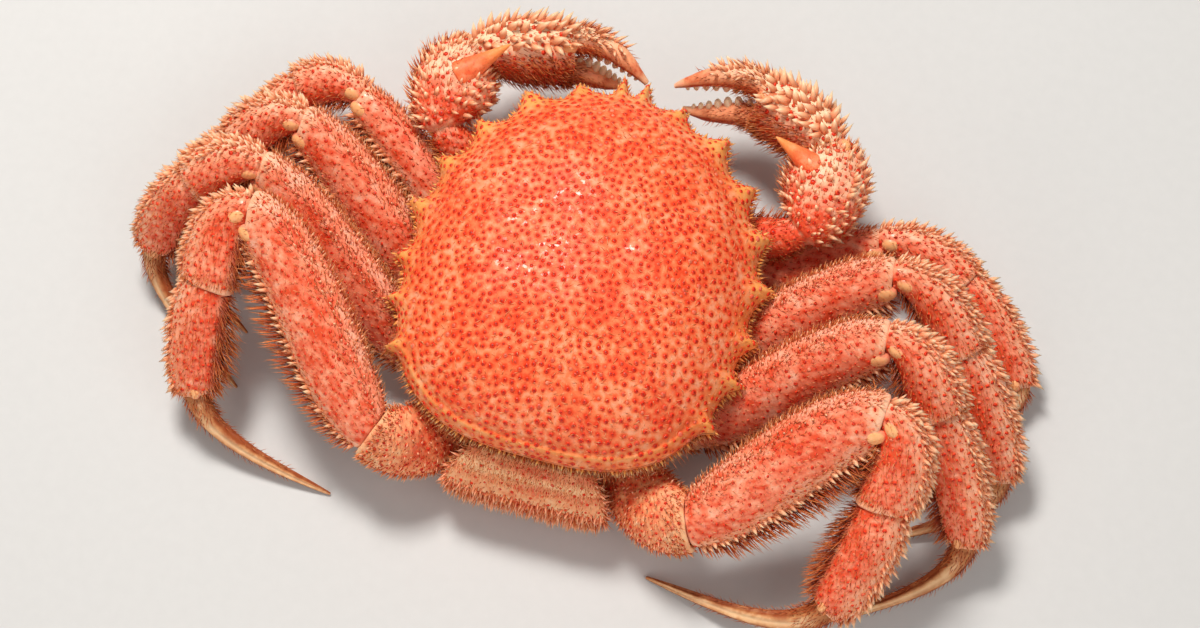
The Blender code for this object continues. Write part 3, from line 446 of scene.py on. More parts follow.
CLAW_COAT = {
    "hip": LEG_COAT["hip"],
    "arm": (
        ("wart", 1.7, "all", 0.34, 0.62, 0.4, 0.2, 0.5), ("hair", 1.0, "all", 2.4, 0.10, 0.7, 0.5, 0.4),
        ("fringe", 0.8, "inner", 3.8, 0.12, 0.4, 0.4, 0.25),
    ),
    "wrist": (
        ("wart", 1.6, "all", 0.30, 0.62, 0.4, 0.3, 0.55), ("hair", 1.0, "all", 2.0, 0.10, 0.7, 0.5, 0.5),
        ("spine", 2.7, "back", 1.8, 0.75, 0.5, 0.3, 0.8),
        ("spine", 2.1, "flanks", 2.3, 0.75, 0.5, 0.3, 0.85),
        ("fringe", 0.85, "inner", 3.8, 0.12, 0.5, 0.4, 0.25),
        ("hair", 0.8, "rim", 2.2, 0.11, 0.8, 0.4, 0.4),
    ),
    "palm": (
        ("wart", 1.7, "all", 0.30, 0.58, 0.4, 0.3, 0.55), ("hair", 1.0, "all", 2.0, 0.10, 0.7, 0.5, 0.45),
        ("spine", 1.85, "crest", 3.6, 1.10, 0.45, 0.3, 1.0),
        ("fringe", 0.8, "lower", 3.8, 0.12, 0.6, 0.5, 0.2),
        ("fringe", 0.7, "rim", 3.2, 0.12, 0.9, 0.4, 0.3),
    ),
    "finger": (
        ("spine", 1.5, "finger_crest", 2.8, 0.65, 0.5, 0.3, 1.0),
        ("hair", 0.7, "knuckle", 2.8, 0.11, 0.7, 0.5, 0.25),
        ("hair", 0.9, "sides", 1.9, 0.09, 0.8, 0.5, 0.25),
    ),
    "fixed": (
        ("hair", 0.7, "knuckle", 2.6, 0.11, 0.7, 0.5, 0.25),
        ("hair", 0.9, "sides", 1.9, 0.09, 0.8, 0.5, 0.3),
    ),
}
# Where a form grows on a limb, from its place along it, and its flexing and back sides
ZONES = {
    "all": lambda t, flexing, back: t > 0,
    "faces": lambda t, flexing, back: np.abs(flexing) < 0.86,
    "flanks": lambda t, flexing, back: np.abs(flexing) > 0.5,
    "inner": lambda t, flexing, back: flexing > 0.88,
    "inner_edge": lambda t, flexing, back: (flexing > 0.78) & (flexing < 0.94) & (back > 0),
    "rim": lambda t, flexing, back: t > 0.87,
    "outer": lambda t, flexing, back: flexing < -0.72,
    "margin": lambda t, flexing, back: flexing < -0.90,
    "back": lambda t, flexing, back: back > 0.55,
    "root": lambda t, flexing, back: t < 0.20,
    "rows": lambda t, flexing, back: (t < 0.72) & (np.abs(flexing) > 0.93),
    "knuckle": lambda t, flexing, back: t < 0.35,
    "crest": lambda t, flexing, back: flexing > 0.45,
    "lower": lambda t, flexing, back: flexing < 0.2,
    "finger_crest": lambda t, flexing, back: (flexing > 0.5) & (t < 0.62),
    "sides": lambda t, flexing, back: (np.abs(flexing) < 0.8) & (t < 0.75),
}
LIMB_SPAN = (0.02, 0.975)
# The shell's warts: seed, zone, spacing and least radius
SHELL_WARTS = ((11, "outer dome", 1.75, 0.46), (13, "inner dome", 1.52, 0.40))
# How much more a wart's radius may be, how rare large ones are, and its height by radius and besides
WART_GROWTH = 0.36
WART_RARITY = 1.2
WART_HEIGHT = (0.34, 0.10)
WART_TONE = 0.45
SHELL_BLUSH = (0.86, 1.05)
# The dome's short bristles: seed, spacing, length, radius and tone
SHELL_HAIR = (12, 1.50, 1.4, 0.09, 0.8)
SHELL_TONE_SPREAD = 0.2
# What grows on the dome lies in any level way, a little forward
LEVEL = (1, 1, 0.1)
# The fringe of the shell's rim and flanks: seed, spacing, zone, form, length, radius and tone
SHELL_FRINGE = (
    (23, 1.15, "rim", "spine", 1.7, 0.42, 0.9), (21, 0.95, "rim", "fringe", 1.6, 0.09, 0.4),
    (24, 1.00, "under rim", "fringe", 3.6, 0.11, 0.2), (22, 1.15, "flank", "fringe", 3.0, 0.11, 0.3),
    (25, 0.56, "rear band", "hair", 2.1, 0.10, 0.92),
)
# Where a form grows on the shell, from its share of the outline, its place and how far it faces up
SHELL_ZONES = {
    "dome": lambda share, y, z, up: (z > RIM_Z + 0.4) & (up > 0.1),
    "outer dome": lambda share, y, z, up: (z > RIM_Z + 0.4) & (up > 0.1) & (share > 0.62),
    "inner dome": lambda share, y, z, up: (z > RIM_Z + 0.4) & (up > 0.1) & (share <= 0.62),
    "rim": lambda share, y, z, up: (share > 0.975) & (z < RIM_Z + 1.2) & (z > RIM_Z - 3.0) & (
        ((y > -26.0) & (z > RIM_Z - 1.5)) | (z < RIM_Z - 0.5)),
    "under rim": lambda share, y, z, up: (
        (share > 0.93) & (z < RIM_Z - 0.8) & (z > RIM_Z - 4.5) & (y < 40.0)),
    "rear band": lambda share, y, z, up: (z < RIM_Z - 0.6) & (y < -30.0) & (share > 0.75),
    "flank": lambda share, y, z, up: (z < RIM_Z - 1.0) & (share > 0.72),
}
# The belly flap's coat: seed, spacing, zone, form, length, radius, tone and lean
FLAP_COAT = (
    (31, 1.90, "rear", "wart", 0.28, 0.45, 0.55, 0.2), (32, 1.20, "rear", "hair", 1.5, 0.11, 0.65, 0.6),
    (33, 1.05, "edge", "spine", 2.4, 0.36, 0.22, 0.2), (35, 0.90, "edge", "hair", 2.6, 0.13, 0.38, 0.2),
    (36, 0.56, "fuzzy", "hair", 1.8, 0.10, 0.92, 0.6), (34, 1.60, "under", "hair", 1.4, 0.08, 0.6, 0.8),
)
# Where a form grows on the flap, from its place and the way it faces
FLAP_ZONES = {
    "rear": lambda y, z, way: (way[1] < 0.35) & (z > 1.2),
    "under": lambda y, z, way: (way[2] < -0.5) & (y > -52),
    "edge": lambda y, z, way: (
        ((way[1] < 0.2) & (z < 17.5) & (z > 1.2)) | ((np.abs(way[0]) > 0.5) & (y < -44))),
    "fuzzy": lambda y, z, way: (z > 20.5) & (way[1] < 0.4),
}
# The face's and the breast's coat: pieces, spacing, form, length, radius, tone and seed
FACE_COAT = (
    ("jaw_plate", 0.85, "hair", 1.7, 0.09, 0.45, 51), ("jaw_plate", 1.45, "wart", 0.26, 0.42, 0.5, 56),
    ("palp", 0.60, "hair", 1.9, 0.08, 0.45, 57), ("feeler_whip", 1.0, "hair", 1.1, 0.06, 0.6, 52),
    ("eye_stalk", 1.0, "hair", 0.9, 0.06, 0.6, 53),
)
BREAST_COAT = (
    ("breast_plate", 1.7, "hair", 1.5, 0.09, 0.6, 54), ("breast_boss", 2.0, "hair", 1.1, 0.08, 0.6, 55),
)
# Where their bristles lie, and the lowest place of one in millimetres over the floor
FACE_LIE = (0.0, 0.5, -0.6)
LOWEST = 0.8
# Lights: name, place in the crab's frame, size in millimetres, watts and colour
LIGHTS = (
    ("key_light", (-250, 350, 800), 220.0, 8.1, (1.0, 0.97, 0.93)),
    ("fill_light", (450, -300, 500), 600.0, 1.2, (1.0, 0.98, 0.96)),
    ("rear_light", (-80, -620, 240), 400.0, 1.15, (1.0, 0.96, 0.90)),
)
LIGHTS_AIM = (0, 0, 20)
WORLD_COLOUR = (1.0, 0.98, 0.96)
WORLD_STRENGTH = 0.22
# Floor: how far below the crab and how wide in metres, and its colour and roughness
FLOOR_DROP = 0.0002
FLOOR_SIZE = 6.0
FLOOR_COLOUR = (0.66, 0.655, 0.645)
FLOOR_ROUGHNESS = 0.7
# Camera: place in the crab's frame, lens and sensor in millimetres, heading and elevation in degrees
CAMERA_AT = (53.92, -185.1, 587.7)
CAMERA_LENS = 70.0
CAMERA_SENSOR = 36.0
CAMERA_CLIP = 0.01
CAMERA_HEADING = 15.0
CAMERA_ELEVATION = 72.0

LOOKS = {}


def placed(point):
    """A point of the crab's own frame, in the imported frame."""
    return ORIGIN + Vector(point) * MM


def mirrored(point, side):
    return Vector((point[0] * side, point[1], point[2]))


def side_of(name):
    return 1 if name.endswith("right") else -1


def side_label(side):
    """The name of a side: 1 is the crab's right, -1 its left."""
    return "right" if side > 0 else "left"


def own_places(points):
    """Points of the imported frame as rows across, ahead and up in the crab's own frame."""
    return ((points - np.array(ORIGIN)) / MM).T


def smooth_share(value, low, high):
    """How far a value has come from low to high, from none to all with soft ends."""
    t = np.clip((value - low) / (high - low), 0.0, 1.0)
    return t * t * (3 - 2 * t)


def peak(value, middle, width):
    """A soft peak of height one round a middle."""
    return np.exp(-(((value - middle) / width) ** 2))


def turn_of(flat, way):
    """The turn of a ring that faces along a way, with its flat axis across."""
    return Matrix((flat, way.cross(flat), way)).transposed()


def heading_way(heading, side):
    """The level direction that many degrees from straight ahead."""
    angle = math.radians(heading)
    return Vector((side * math.sin(angle), math.cos(angle), 0.0))


def blend(before, after, shares):
    """The way through a joint, from the ways before and after it."""
    return (before * shares[0] + after * shares[1]).normalized()


class Limb:
    """A bent tube between two joints, in metres, whose skin can be found at any place along it."""

    def __init__(self, ends, ways, flexing, sizes, profile, handle=CLAW_HANDLE, lean=0.0):
        self.start, self.end = placed(ends[0]), placed(ends[1])
        self.length = (self.end - self.start).length
        self.leave = self.start + ways[0].normalized() * (self.length * handle)
        self.arrive = self.end - ways[1].normalized() * (self.length * handle)
        self.flexing = flexing
        self.lean = lean
        self.stations = [(t, sizes[0] / 2 * a * MM, sizes[1] / 2 * b * MM) for t, a, b in profile]

    def centre(self, t):
        """The middle at t, leaning away from the flexing side near the first joint."""
        a, b, c, d, s = self.start, self.leave, self.arrive, self.end, 1.0 - t
        middle = a * s**3 + b * (3 * s * s * t) + c * (3 * s * t * t) + d * t**3
        return middle - self.axes(t)[1] * (self.lean * s * self.halves(t)[0])

    def way(self, t):
        a, b, c, d, s = self.start, self.leave, self.arrive, self.end, 1.0 - t
        return ((b - a) * (s * s) + (c - b) * (2 * s * t) + (d - c) * (t * t)).normalized()

    def axes(self, t):
        """The limb's way, its flexing side and its back at t."""
        way = self.way(t)
        flat = self.flexing(way)
        flat = (flat - way * flat.dot(way)).normalized()
        back = flat.cross(way)
        return way, flat, back if back.z > 0 else -back

    def halves(self, t):
        """Half the flat and the thin size at t, eased between the stations."""
        for low, high in zip(self.stations, self.stations[1:]):
            if t <= high[0]:
                share = (t - low[0]) / (high[0] - low[0])
                return [a + (b - a) * share for a, b in zip(low[1:], high[1:])]
        return self.stations[-1][1:]

    def ring(self, t, shift=0.0, size=1.0):
        """A ring of the skin: its middle, its turn, and half its two sizes."""
        way, flat, _ = self.axes(t)
        half_flat, half_thin = self.halves(t)
        middle = self.centre(t) + way * (shift * MM)
        return middle, turn_of(flat, way), half_flat * size, half_thin * size

    def skin(self, t, turn):
        """A point on the skin, its outward way and the limb's way: turn 0 flexes, 90 is the back."""
        way, flat, back = self.axes(t)
        half_flat, half_thin = self.halves(t)
        c, s = math.cos(math.radians(turn)), math.sin(math.radians(turn))
        out = flat * (c / half_flat) + back * (s / half_thin)
        return self.centre(t) + flat * (half_flat * c) + back * (half_thin * s), out.normalized(), way


def leg_limbs(name):
    """The five limbs of a walking leg."""
    number = int(name[3]) - 1
    side = side_of(name)
    x, y, heading = SOCKETS[number + 1]
    socket_way = heading_way(heading, side)
    joints = [Vector((side * x, y, SOCKET_Z)), *(Vector(point) for point in LEG_JOINTS[name])]
    merus, carpus, propodus, dactyl = ((b - a).normalized() for a, b in zip(joints[1:], joints[2:]))
    bend = merus.cross(propodus).normalized()

    def flexing(way):
        return bend.cross(way)

    ways = [
        socket_way,
        blend(socket_way, merus, HIP_BLEND),
        blend(merus, carpus, KNEE_BLEND),
        blend(carpus, propodus, WRIST_BLEND),
        blend(propodus, dactyl, ANKLE_BLEND),
        blend(propodus, dactyl, TIP_BLEND),
    ]
    flats, thins, toe = LEG_FLAT[number], LEG_THIN[number], DACTYL_ROOT[number]
    sizes = {
        "hip": (flats[0], thins[0]),
        "merus": (flats[0], thins[0]),
        "carpus": (flats[1], thins[1]),
        "propodus": (flats[2], thins[2]),
        "dactyl": (toe, toe * DACTYL_THIN),
    }
    limbs = {}
    for i, (part, size) in enumerate(sizes.items()):
        profile = PROFILES["rear_hip" if part == "hip" and name.startswith(REAR_LEG) else part]
        lean = CARPUS_LEAN if part == "carpus" else 0.0
        ends, turns = joints[i:i + 2], ways[i:i + 2]
        limbs[part] = Limb(ends, turns, flexing, size, profile, LEG_HANDLES[part], lean)
    return limbs


def claw_limbs(name):
    """The limbs of a claw; the fixed finger belongs to the palm."""
    side = side_of(name)
    x, y, heading = SOCKETS[0]
    socket = Vector((side * x, y, SOCKET_Z))
    socket_way = heading_way(heading, side)
    elbow, wrist, knuckle, fixed_tip, moving_tip = (Vector(point) for point in CLAW_JOINTS[name])
    root = socket + socket_way * CLAW_HIP_REACH + Vector((0, 0, CLAW_HIP_RISE))
    arm_way = (elbow - root).normalized()
    block_way = (wrist - elbow).normalized()
    palm_way = (knuckle - wrist).normalized()
    crest = Vector(CREST_WAY)
    crest = (crest - palm_way * crest.dot(palm_way)).normalized()

    def upright(way):
        return Vector((0, 0, 1)).cross(way)

    def crested(way):
        return crest

    elbow_way = (arm_way + block_way).normalized()
    wrist_way = (block_way + palm_way).normalized()
    upper = knuckle + crest * FINGER_APART
    lower = knuckle - crest * FINGER_APART - palm_way * FIXED_DEPTH
    moving_way = (moving_tip - upper).normalized() - crest * MOVING_HOOK
    fixed_way = (fixed_tip - knuckle + crest * FINGER_APART).normalized() + crest * FIXED_HOOK
    finger = (crested, FINGER_ROOT, PROFILES["finger"], FINGER_HANDLE)
    return {
        "hip": Limb((socket, root), (socket_way, arm_way), upright, CLAW_HIP, PROFILES["hip"]),
        "arm": Limb((root, elbow), (arm_way, elbow_way), upright, CLAW_ARM, PROFILES["merus"]),
        "wrist": Limb((elbow, wrist), (elbow_way, wrist_way), upright, CLAW_WRIST, PROFILES["wrist"]),
        "palm": Limb((wrist, knuckle), (wrist_way, palm_way), crested, CLAW_HAND, PROFILES["palm"]),
        "finger": Limb((upper, moving_tip), (palm_way, moving_way), *finger),
        "fixed": Limb((lower, fixed_tip), (palm_way, fixed_way), *finger),
    }


def fresh():
    """Leave edit mode with nothing selected."""
    if bpy.context.mode != "OBJECT":
        bpy.ops.object.mode_set(mode="OBJECT")
    bpy.ops.object.select_all(action="DESELECT")


def named(name):
    """The new primitive, under its own name."""
    piece = bpy.context.object
    piece.name = piece.data.name = name
    return piece


def set_ring(before, after, extrude):
    """Carry the selected ring from where it is to its next place, size and turn."""
    middle, turn, across, deep = before
    next_middle, next_turn, next_across, next_deep = after
    step = next_middle - middle
    if extrude:
        bpy.ops.mesh.extrude_region_move(TRANSFORM_OT_translate={"value": step})
    else:
        bpy.ops.transform.translate(value=step)
    bpy.ops.transform.resize(
        value=(next_across / across, next_deep / deep, 1.0), orient_matrix=turn,
        center_override=next_middle,
    )
    axis, angle = (next_turn @ turn.inverted()).to_quaternion().to_axis_angle()
    if angle > 1e-5:
        side = axis.orthogonal().normalized()
        bpy.ops.transform.rotate(
            value=angle, orient_axis="Z", orient_matrix=turn_of(side, axis),
            constraint_axis=(False, False, True), center_override=next_middle,
        )


def settle(piece):
    """Put a mesh's points and faces in one fixed order, so that each run gives the same mesh."""
    mesh = piece.data
    spots = [tuple(vert.co) for vert in mesh.vertices]
    order = sorted(range(len(spots)), key=lambda i: [round(value / SORTING_STEP) for value in spots[i]])
    place = {old: new for new, old in enumerate(order)}
    faces = []
    for face in mesh.polygons:
        corners = [place[i] for i in face.vertices]
        first = corners.index(min(corners))
        faces.append(corners[first:] + corners[:first])
    mesh.clear_geometry()
    mesh.from_pydata([spots[i] for i in order], [], sorted(faces))


def tube(name, rings, sides, squareness=1.0):
    """A closed tube: one filled ring, round or squarer, extruded from place to place."""
    fresh()
    bpy.ops.mesh.primitive_circle_add(vertices=sides, radius=1.0, fill_type="NGON")
    piece = named(name)
    for vert in piece.data.vertices:
        vert.co = [math.copysign(abs(value) ** squareness, value) for value in vert.co]
    bpy.ops.object.mode_set(mode="EDIT")
    before = (Vector(), Matrix.Identity(3), 1.0, 1.0)
    for i, ring in enumerate(rings):
        set_ring(before, ring, i > 0)
        before = ring
    close_up(piece)
    return piece


def use(piece, kind, **values):
    """Finish a piece with one modifier, applied."""
    fresh()
    piece.select_set(True)
    bpy.context.view_layer.objects.active = piece
    modifier = piece.modifiers.new(kind.lower(), kind)
    for key, value in values.items():
        setattr(modifier, key, value)
    bpy.ops.object.modifier_apply(modifier=modifier.name)


def refine(piece, levels):
    """Round a piece off by that many subdivisions."""
    use(piece, "SUBSURF", levels=levels, render_levels=levels)


def ruffle(piece, grain, depth):
    """Uneven the skin by a cloudy pattern of that grain and depth, in millimetres."""
    clouds = bpy.data.textures.new(f"{piece.name}_unevenness", "CLOUDS")
    clouds.noise_scale = grain * MM
    use(piece, "DISPLACE", texture=clouds, texture_coords="LOCAL", strength=depth * MM, mid_level=0.5)
    bpy.data.textures.remove(clouds)


def points_of(piece):
    """A mesh's points and their outward ways, as arrays."""
    count = len(piece.data.vertices)
    points, ways = np.empty(count * 3), np.empty(count * 3, np.float32)
    piece.data.vertices.foreach_get("co", points)
    piece.data.vertex_normals.foreach_get("vector", ways)
    return points.reshape(-1, 3), ways.reshape(-1, 3)


def set_points(piece, points):
    piece.data.vertices.foreach_set("co", points.astype(np.float32).ravel())
    piece.data.update()


def keep_above(piece, height):
    """Lift the points that lie lower than that height over the floor, in millimetres."""
    points, _ = points_of(piece)
    points[:, 2] = np.maximum(points[:, 2], height * MM)
    set_points(piece, points)
    return points


def mark(piece, name, values):
    """Keep a number for each point of a mesh, for its material to read."""
    layer = piece.data.attributes.new(name, "FLOAT", "POINT")
    layer.data.foreach_set("value", np.asarray(values, np.float32))


def mark_evenly(piece, cream=0.0, blush=0.0):
    """Mark a piece that is as creamy and as red all over."""
    for name, value in (("cream", cream), ("blush", blush)):
        mark(piece, name, np.full(len(piece.data.vertices), value))


def finish_piece(piece, material, nodes):
    """Smooth, paint and hand over a piece that stands for these nodes."""
    fresh()
    piece.select_set(True)
    bpy.context.view_layer.objects.active = piece
    bpy.ops.object.shade_smooth()
    piece.data.materials.clear()
    piece.data.materials.append(material)
    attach(piece, "root")
    if nodes:
        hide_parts(*nodes)
    return piece


def spot_on(limb, points):
    """Where points lie on a limb: place along it, and the cosine and sine of the turn round it."""
    places = np.linspace(0.0, 1.0, LIMB_PLACES)
    centres = np.array([limb.centre(t) for t in places])
    axes = np.array([limb.axes(t) for t in places])
    sizes = np.array([limb.halves(t) for t in places])
    nearest = np.empty(len(points), int)
    for first in range(0, len(points), BATCH):
        part = points[first:first + BATCH]
        nearest[first:first + BATCH] = ((part[:, None] - centres[None]) ** 2).sum(2).argmin(1)
    away = points - centres[nearest]
    across = (away * axes[nearest, 1]).sum(1) / sizes[nearest, 0]
    deep = (away * axes[nearest, 2]).sum(1) / sizes[nearest, 1]
    length = np.hypot(across, deep) + 1e-9
    return places[nearest], across / length, deep / length


class Nodes:
    """A node tree being wired: each call adds one node, with its settings and links."""

    def __init__(self, tree):
        self.tree = tree
        self.column = 0

    def add(self, kind, inputs=None, **settings):
        node = self.tree.nodes.new(kind)
        node.location = (self.column * 180, 0)
        self.column += 1
        for key, value in settings.items():
            setattr(node, key, value)
        return self.feed(node, inputs or {})

    def feed(self, node, inputs):
        """Link or set a node's inputs."""
        for key, value in inputs.items():
            socket = node.inputs[key]
            if isinstance(value, bpy.types.NodeSocket):
                self.tree.links.new(value, socket)
            elif socket.type == "RGBA" and len(value) == 3:
                socket.default_value = (*value, 1.0)
            else:
                socket.default_value = value
        return node

    def math(self, operation, a, b):
        return self.add("ShaderNodeMath", {0: a, 1: b}, operation=operation).outputs[0]

    def ramp(self, factor, *stops):
        """A colour ramp from (place, colour) stops."""
        node = self.add("ShaderNodeValToRGB", {"Fac": factor})
        elements = node.color_ramp.elements
        while len(elements) < len(stops):
            elements.new(1.0)
        for element, (place, colour) in zip(elements, stops):
            element.position = place
            element.color = (*colour, 1.0)
        return node.outputs["Color"]

    def fade(self, factor, low, high, start=0.0, end=1.0):
        """A value that goes from start to end while the factor goes from low to high."""
        node = self.add("ShaderNodeMapRange", {
            "Value": factor, "From Min": low, "From Max": high, "To Min": start, "To Max": end,
        })
        return node.outputs["Result"]

    def mix(self, factor, a, b):
        """From colour a to colour b by that factor."""
        node = self.add("ShaderNodeMix", data_type="RGBA")
        return self.feed(node, {0: factor, 6: a, 7: b}).outputs[2]

    def noise(self, where, scale, detail=3.0, roughness=0.55):
        inputs = {"Vector": where, "Scale": scale, "Detail": detail, "Roughness": roughness}
        return self.add("ShaderNodeTexNoise", inputs).outputs["Fac"]


def node_group(name, inputs, outputs):
    """An empty shader node group with named sockets: (name, kind, default) and (name, kind)."""
    tree = bpy.data.node_groups.new(name, "ShaderNodeTree")
    for label, kind, default in inputs:
        socket = tree.interface.new_socket(label, in_out="INPUT", socket_type=f"NodeSocket{kind}")
        socket.default_value = default
    for label, kind in outputs:
        tree.interface.new_socket(label, in_out="OUTPUT", socket_type=f"NodeSocket{kind}")
    nodes = Nodes(tree)
    return tree, nodes, nodes.add("NodeGroupInput").outputs, nodes.add("NodeGroupOutput").inputs


def boiled_shell_group():
    """Boiled shell: a pale skin mottled with two reds, freckled, with pores for the bump."""
    found = bpy.data.node_groups.get("boiled shell")
    if found:
        return found
    tree, nodes, given, out = node_group(
        "boiled shell",
        (
            ("Light", "Color", (0.95, 0.5, 0.3, 1.0)), ("Pale", "Color", (0.9, 0.4, 0.2, 1.0)),
            ("Red", "Color", (0.75, 0.1, 0.03, 1.0)), ("Deep", "Color", (0.45, 0.03, 0.01, 1.0)),
            ("Redness", "Float", 0.5), ("Freckles", "Float", 0.5),
        ),
        (("Color", "Color"), ("Roughness", "Float"), ("Height", "Float"), ("Wet", "Float")),
    )
    where = nodes.add("ShaderNodeTexCoord").outputs["Object"]
    cloud = nodes.noise(where, 110.0, 4.0, 0.6)
    patch = nodes.noise(where, 420.0, 3.0, 0.6)
    speck = nodes.noise(where, 1300.0, 2.0, 0.6)
    drift = nodes.fade(cloud, 0.35, 0.65, -0.24, 0.24)
    spots = nodes.fade(patch, 0.35, 0.65, -0.22, 0.22)
    wanted = nodes.math("ADD", nodes.math("ADD", drift, spots), given["Redness"])
    colour = nodes.mix(nodes.fade(wanted, -0.15, 0.30), given["Light"], given["Pale"])
    colour = nodes.mix(nodes.fade(wanted, 0.25, 0.85), colour, given["Red"])
    freckle = nodes.math("MULTIPLY", nodes.fade(speck, 0.56, 0.70), given["Freckles"])
    colour = nodes.mix(freckle, colour, given["Deep"])
    tree.links.new(colour, out["Color"])
    tree.links.new(nodes.fade(patch, 0.3, 0.7, 0.42, 0.64), out["Roughness"])
    tree.links.new(nodes.fade(nodes.noise(where, 620.0, 2.0, 0.6), 0.60, 0.68), out["Wet"])
    height = nodes.math("ADD", nodes.math("MULTIPLY", patch, 0.6), nodes.math("MULTIPLY", speck, 0.35))
    tree.links.new(height, out["Height"])
    return tree


def new_material(name):
    """A material, its node tree to be wired and its shader."""
    material = bpy.data.materials.new(name)
    material.use_nodes = True
    return material, Nodes(material.node_tree), material.node_tree.nodes["Principled BSDF"]


def plate_material(name, light, pale, red, redness, freckles=0.4, cream=(0.95, 0.58, 0.33), gloss=0.6,
                   creaminess=0.5, film=0.0):
    """A shell plate: boiled shell, creamier where its points are marked so, wet here and there."""
    material, nodes, shader = new_material(name)
    blush = nodes.add("ShaderNodeAttribute", attribute_name="blush").outputs["Fac"]
    pallor = nodes.add("ShaderNodeAttribute", attribute_name="cream").outputs["Fac"]
    paler = nodes.math("MULTIPLY", pallor, creaminess - 1.0)
    group = nodes.add("ShaderNodeGroup", node_tree=boiled_shell_group())
    nodes.feed(group, {
        "Light": light, "Pale": pale, "Red": red, "Deep": bpy.context.scene.crab_colours.deep,
        "Redness": nodes.math("ADD", nodes.math("ADD", blush, redness), paler), "Freckles": freckles,
    })
    colour = nodes.mix(nodes.math("MULTIPLY", pallor, creaminess), group.outputs["Color"], cream)
    relief = {"Height": group.outputs["Height"], "Strength": 0.35, "Distance": 0.0004}
    nodes.feed(shader, {
        "Base Color": colour,
        "Roughness": group.outputs["Roughness"],
        "Normal": nodes.add("ShaderNodeBump", relief).outputs["Normal"],
        "Subsurface Weight": 0.15,
        "Subsurface Radius": (1.0, 0.35, 0.2),
        "Subsurface Scale": 0.0007,
        "Specular IOR Level": 0.28,
        "Coat Weight": nodes.math("ADD", nodes.math("MULTIPLY", group.outputs["Wet"], gloss), film),
        "Coat Roughness": 0.24,
    })
    return material


def plain_material(name, colour, roughness, coat=0.0):
    """A smooth material whose colour drifts a little over the surface."""
    material, nodes, shader = new_material(name)
    drift = nodes.noise(nodes.add("ShaderNodeTexCoord").outputs["Object"], 300.0)
    darker = tuple(value * 0.94 for value in colour)
    nodes.feed(shader, {
        "Base Color": nodes.mix(drift, darker, colour), "Roughness": roughness, "Coat Weight": coat,
        "Coat Roughness": 0.05,
    })
    return material


def outline_share(x, y):
    """How far out a point lies, as a share of the shell's outline."""
    power = np.where(y > 0, FRONT_POWER, REAR_POWER)
    length = np.where(y > 0, SHELL_FRONT, SHELL_REAR)
    return (np.abs(x / SHELL_HALF_WIDTH) ** power + np.abs(y / length) ** power) ** (1 / power)


def outline_point(angle, share=1.0):
    """A point of the shell's outline, or of a smaller one inside it."""
    c, s = math.cos(angle), math.sin(angle)
    power = FRONT_POWER if s > 0 else REAR_POWER
    length = SHELL_FRONT if s > 0 else SHELL_REAR
    x = SHELL_HALF_WIDTH * math.copysign(abs(c) ** (2 / power), c)
    y = length * math.copysign(abs(s) ** (2 / power), s)
    return x * share, y * share


def dome_height(share):
    """The dome's smooth height at a share of the outline, in millimetres."""
    return RIM_Z + DOME_HEIGHT * np.clip(1 - share**DOME_POWER, 0.0, 1.0) ** DOME_ROUNDING


def swelling(x, y):
    """How much the dome swells or sinks at a point, in millimetres."""
    total = np.zeros(len(x))
    for across, ahead, radius, height in SWELLINGS:
        for side in (1, -1) if across else (1,):
            away = ((x - side * across) ** 2 + (y - ahead) ** 2) / radius**2
            total += height * np.exp(-away)
    return total


def tooth_reach(tip_x, tip_y, way, length):
    """How far a tooth stands past the outline, its whole length at most."""
    for step in np.linspace(0.0, length, TOOTH_STEPS):
        spot = np.array([tip_x - way.x * step]), np.array([tip_y - way.y * step])
        if outline_share(*spot)[0] <= 1.0:
            return step
    return length


def tooth_push(x, y):
    """How far the rim's teeth push a point of the rim out, across and ahead."""
    push = np.zeros((len(x), 2))
    for tip_x, tip_y, heading, length, width in RIM_TEETH:
        for side in (1, -1):
            way = heading_way(heading, side)
            reach = tooth_reach(side * tip_x, tip_y, way, length)
            dx, dy = x - side * tip_x, y - tip_y
            aside = np.abs(dx * way.y - dy * way.x)
            ahead = dx * way.x + dy * way.y
            half = max(width / 2, TOOTH_LEAST_HALF)
            foot = np.clip(1.0 - aside / half, 0.0, 1.0) ** TOOTH_SHARPNESS
            cusp = np.clip(1.0 - aside / (TOOTH_CUSP * half), 0.0, 1.0)
            share = (TOOTH_SHARES[0] * foot + TOOTH_SHARES[1] * cusp) * (ahead > -TOOTH_BEHIND * length)
            amount = (reach + TOOTH_EXTRA) * share
            stronger = amount > np.hypot(push[:, 0], push[:, 1])
            push[stronger] = np.stack([amount * way.x, amount * way.y], 1)[stronger]
    return push


def redden(piece, roots, reach, amount):
    """Let the skin blush round the foot of each wart."""
    tree = KDTree(len(roots))
    for i, root in enumerate(roots):
        tree.insert(root, i)
    tree.balance()
    points, _ = points_of(piece)
    away = np.array([tree.find(point)[2] for point in points]) / MM
    layer = piece.data.attributes["blush"]
    values = np.empty(len(points), np.float32)
    layer.data.foreach_get("value", values)
    values += amount * (peak(away, 0.0, reach) - REDDEN_LEVEL)
    layer.data.foreach_set("value", values)


def raise_rings(rings, centre):
    """Extrude the selected ring upwards from share to share of its size and height to height."""
    for (share, height), (next_share, next_height) in zip(rings, rings[1:]):
        rise = {"value": (0.0, 0.0, (next_height - height) * MM)}
        bpy.ops.mesh.extrude_region_move(TRANSFORM_OT_translate=rise)
        size = next_share / share
        bpy.ops.transform.resize(value=(size, size, 1.0), center_override=centre)


def close_up(piece):
    """Face the skin outwards, leave edit mode and put the mesh in order."""
    bpy.ops.mesh.select_all(action="SELECT")
    bpy.ops.mesh.normals_make_consistent(inside=False)
    fresh()
    settle(piece)


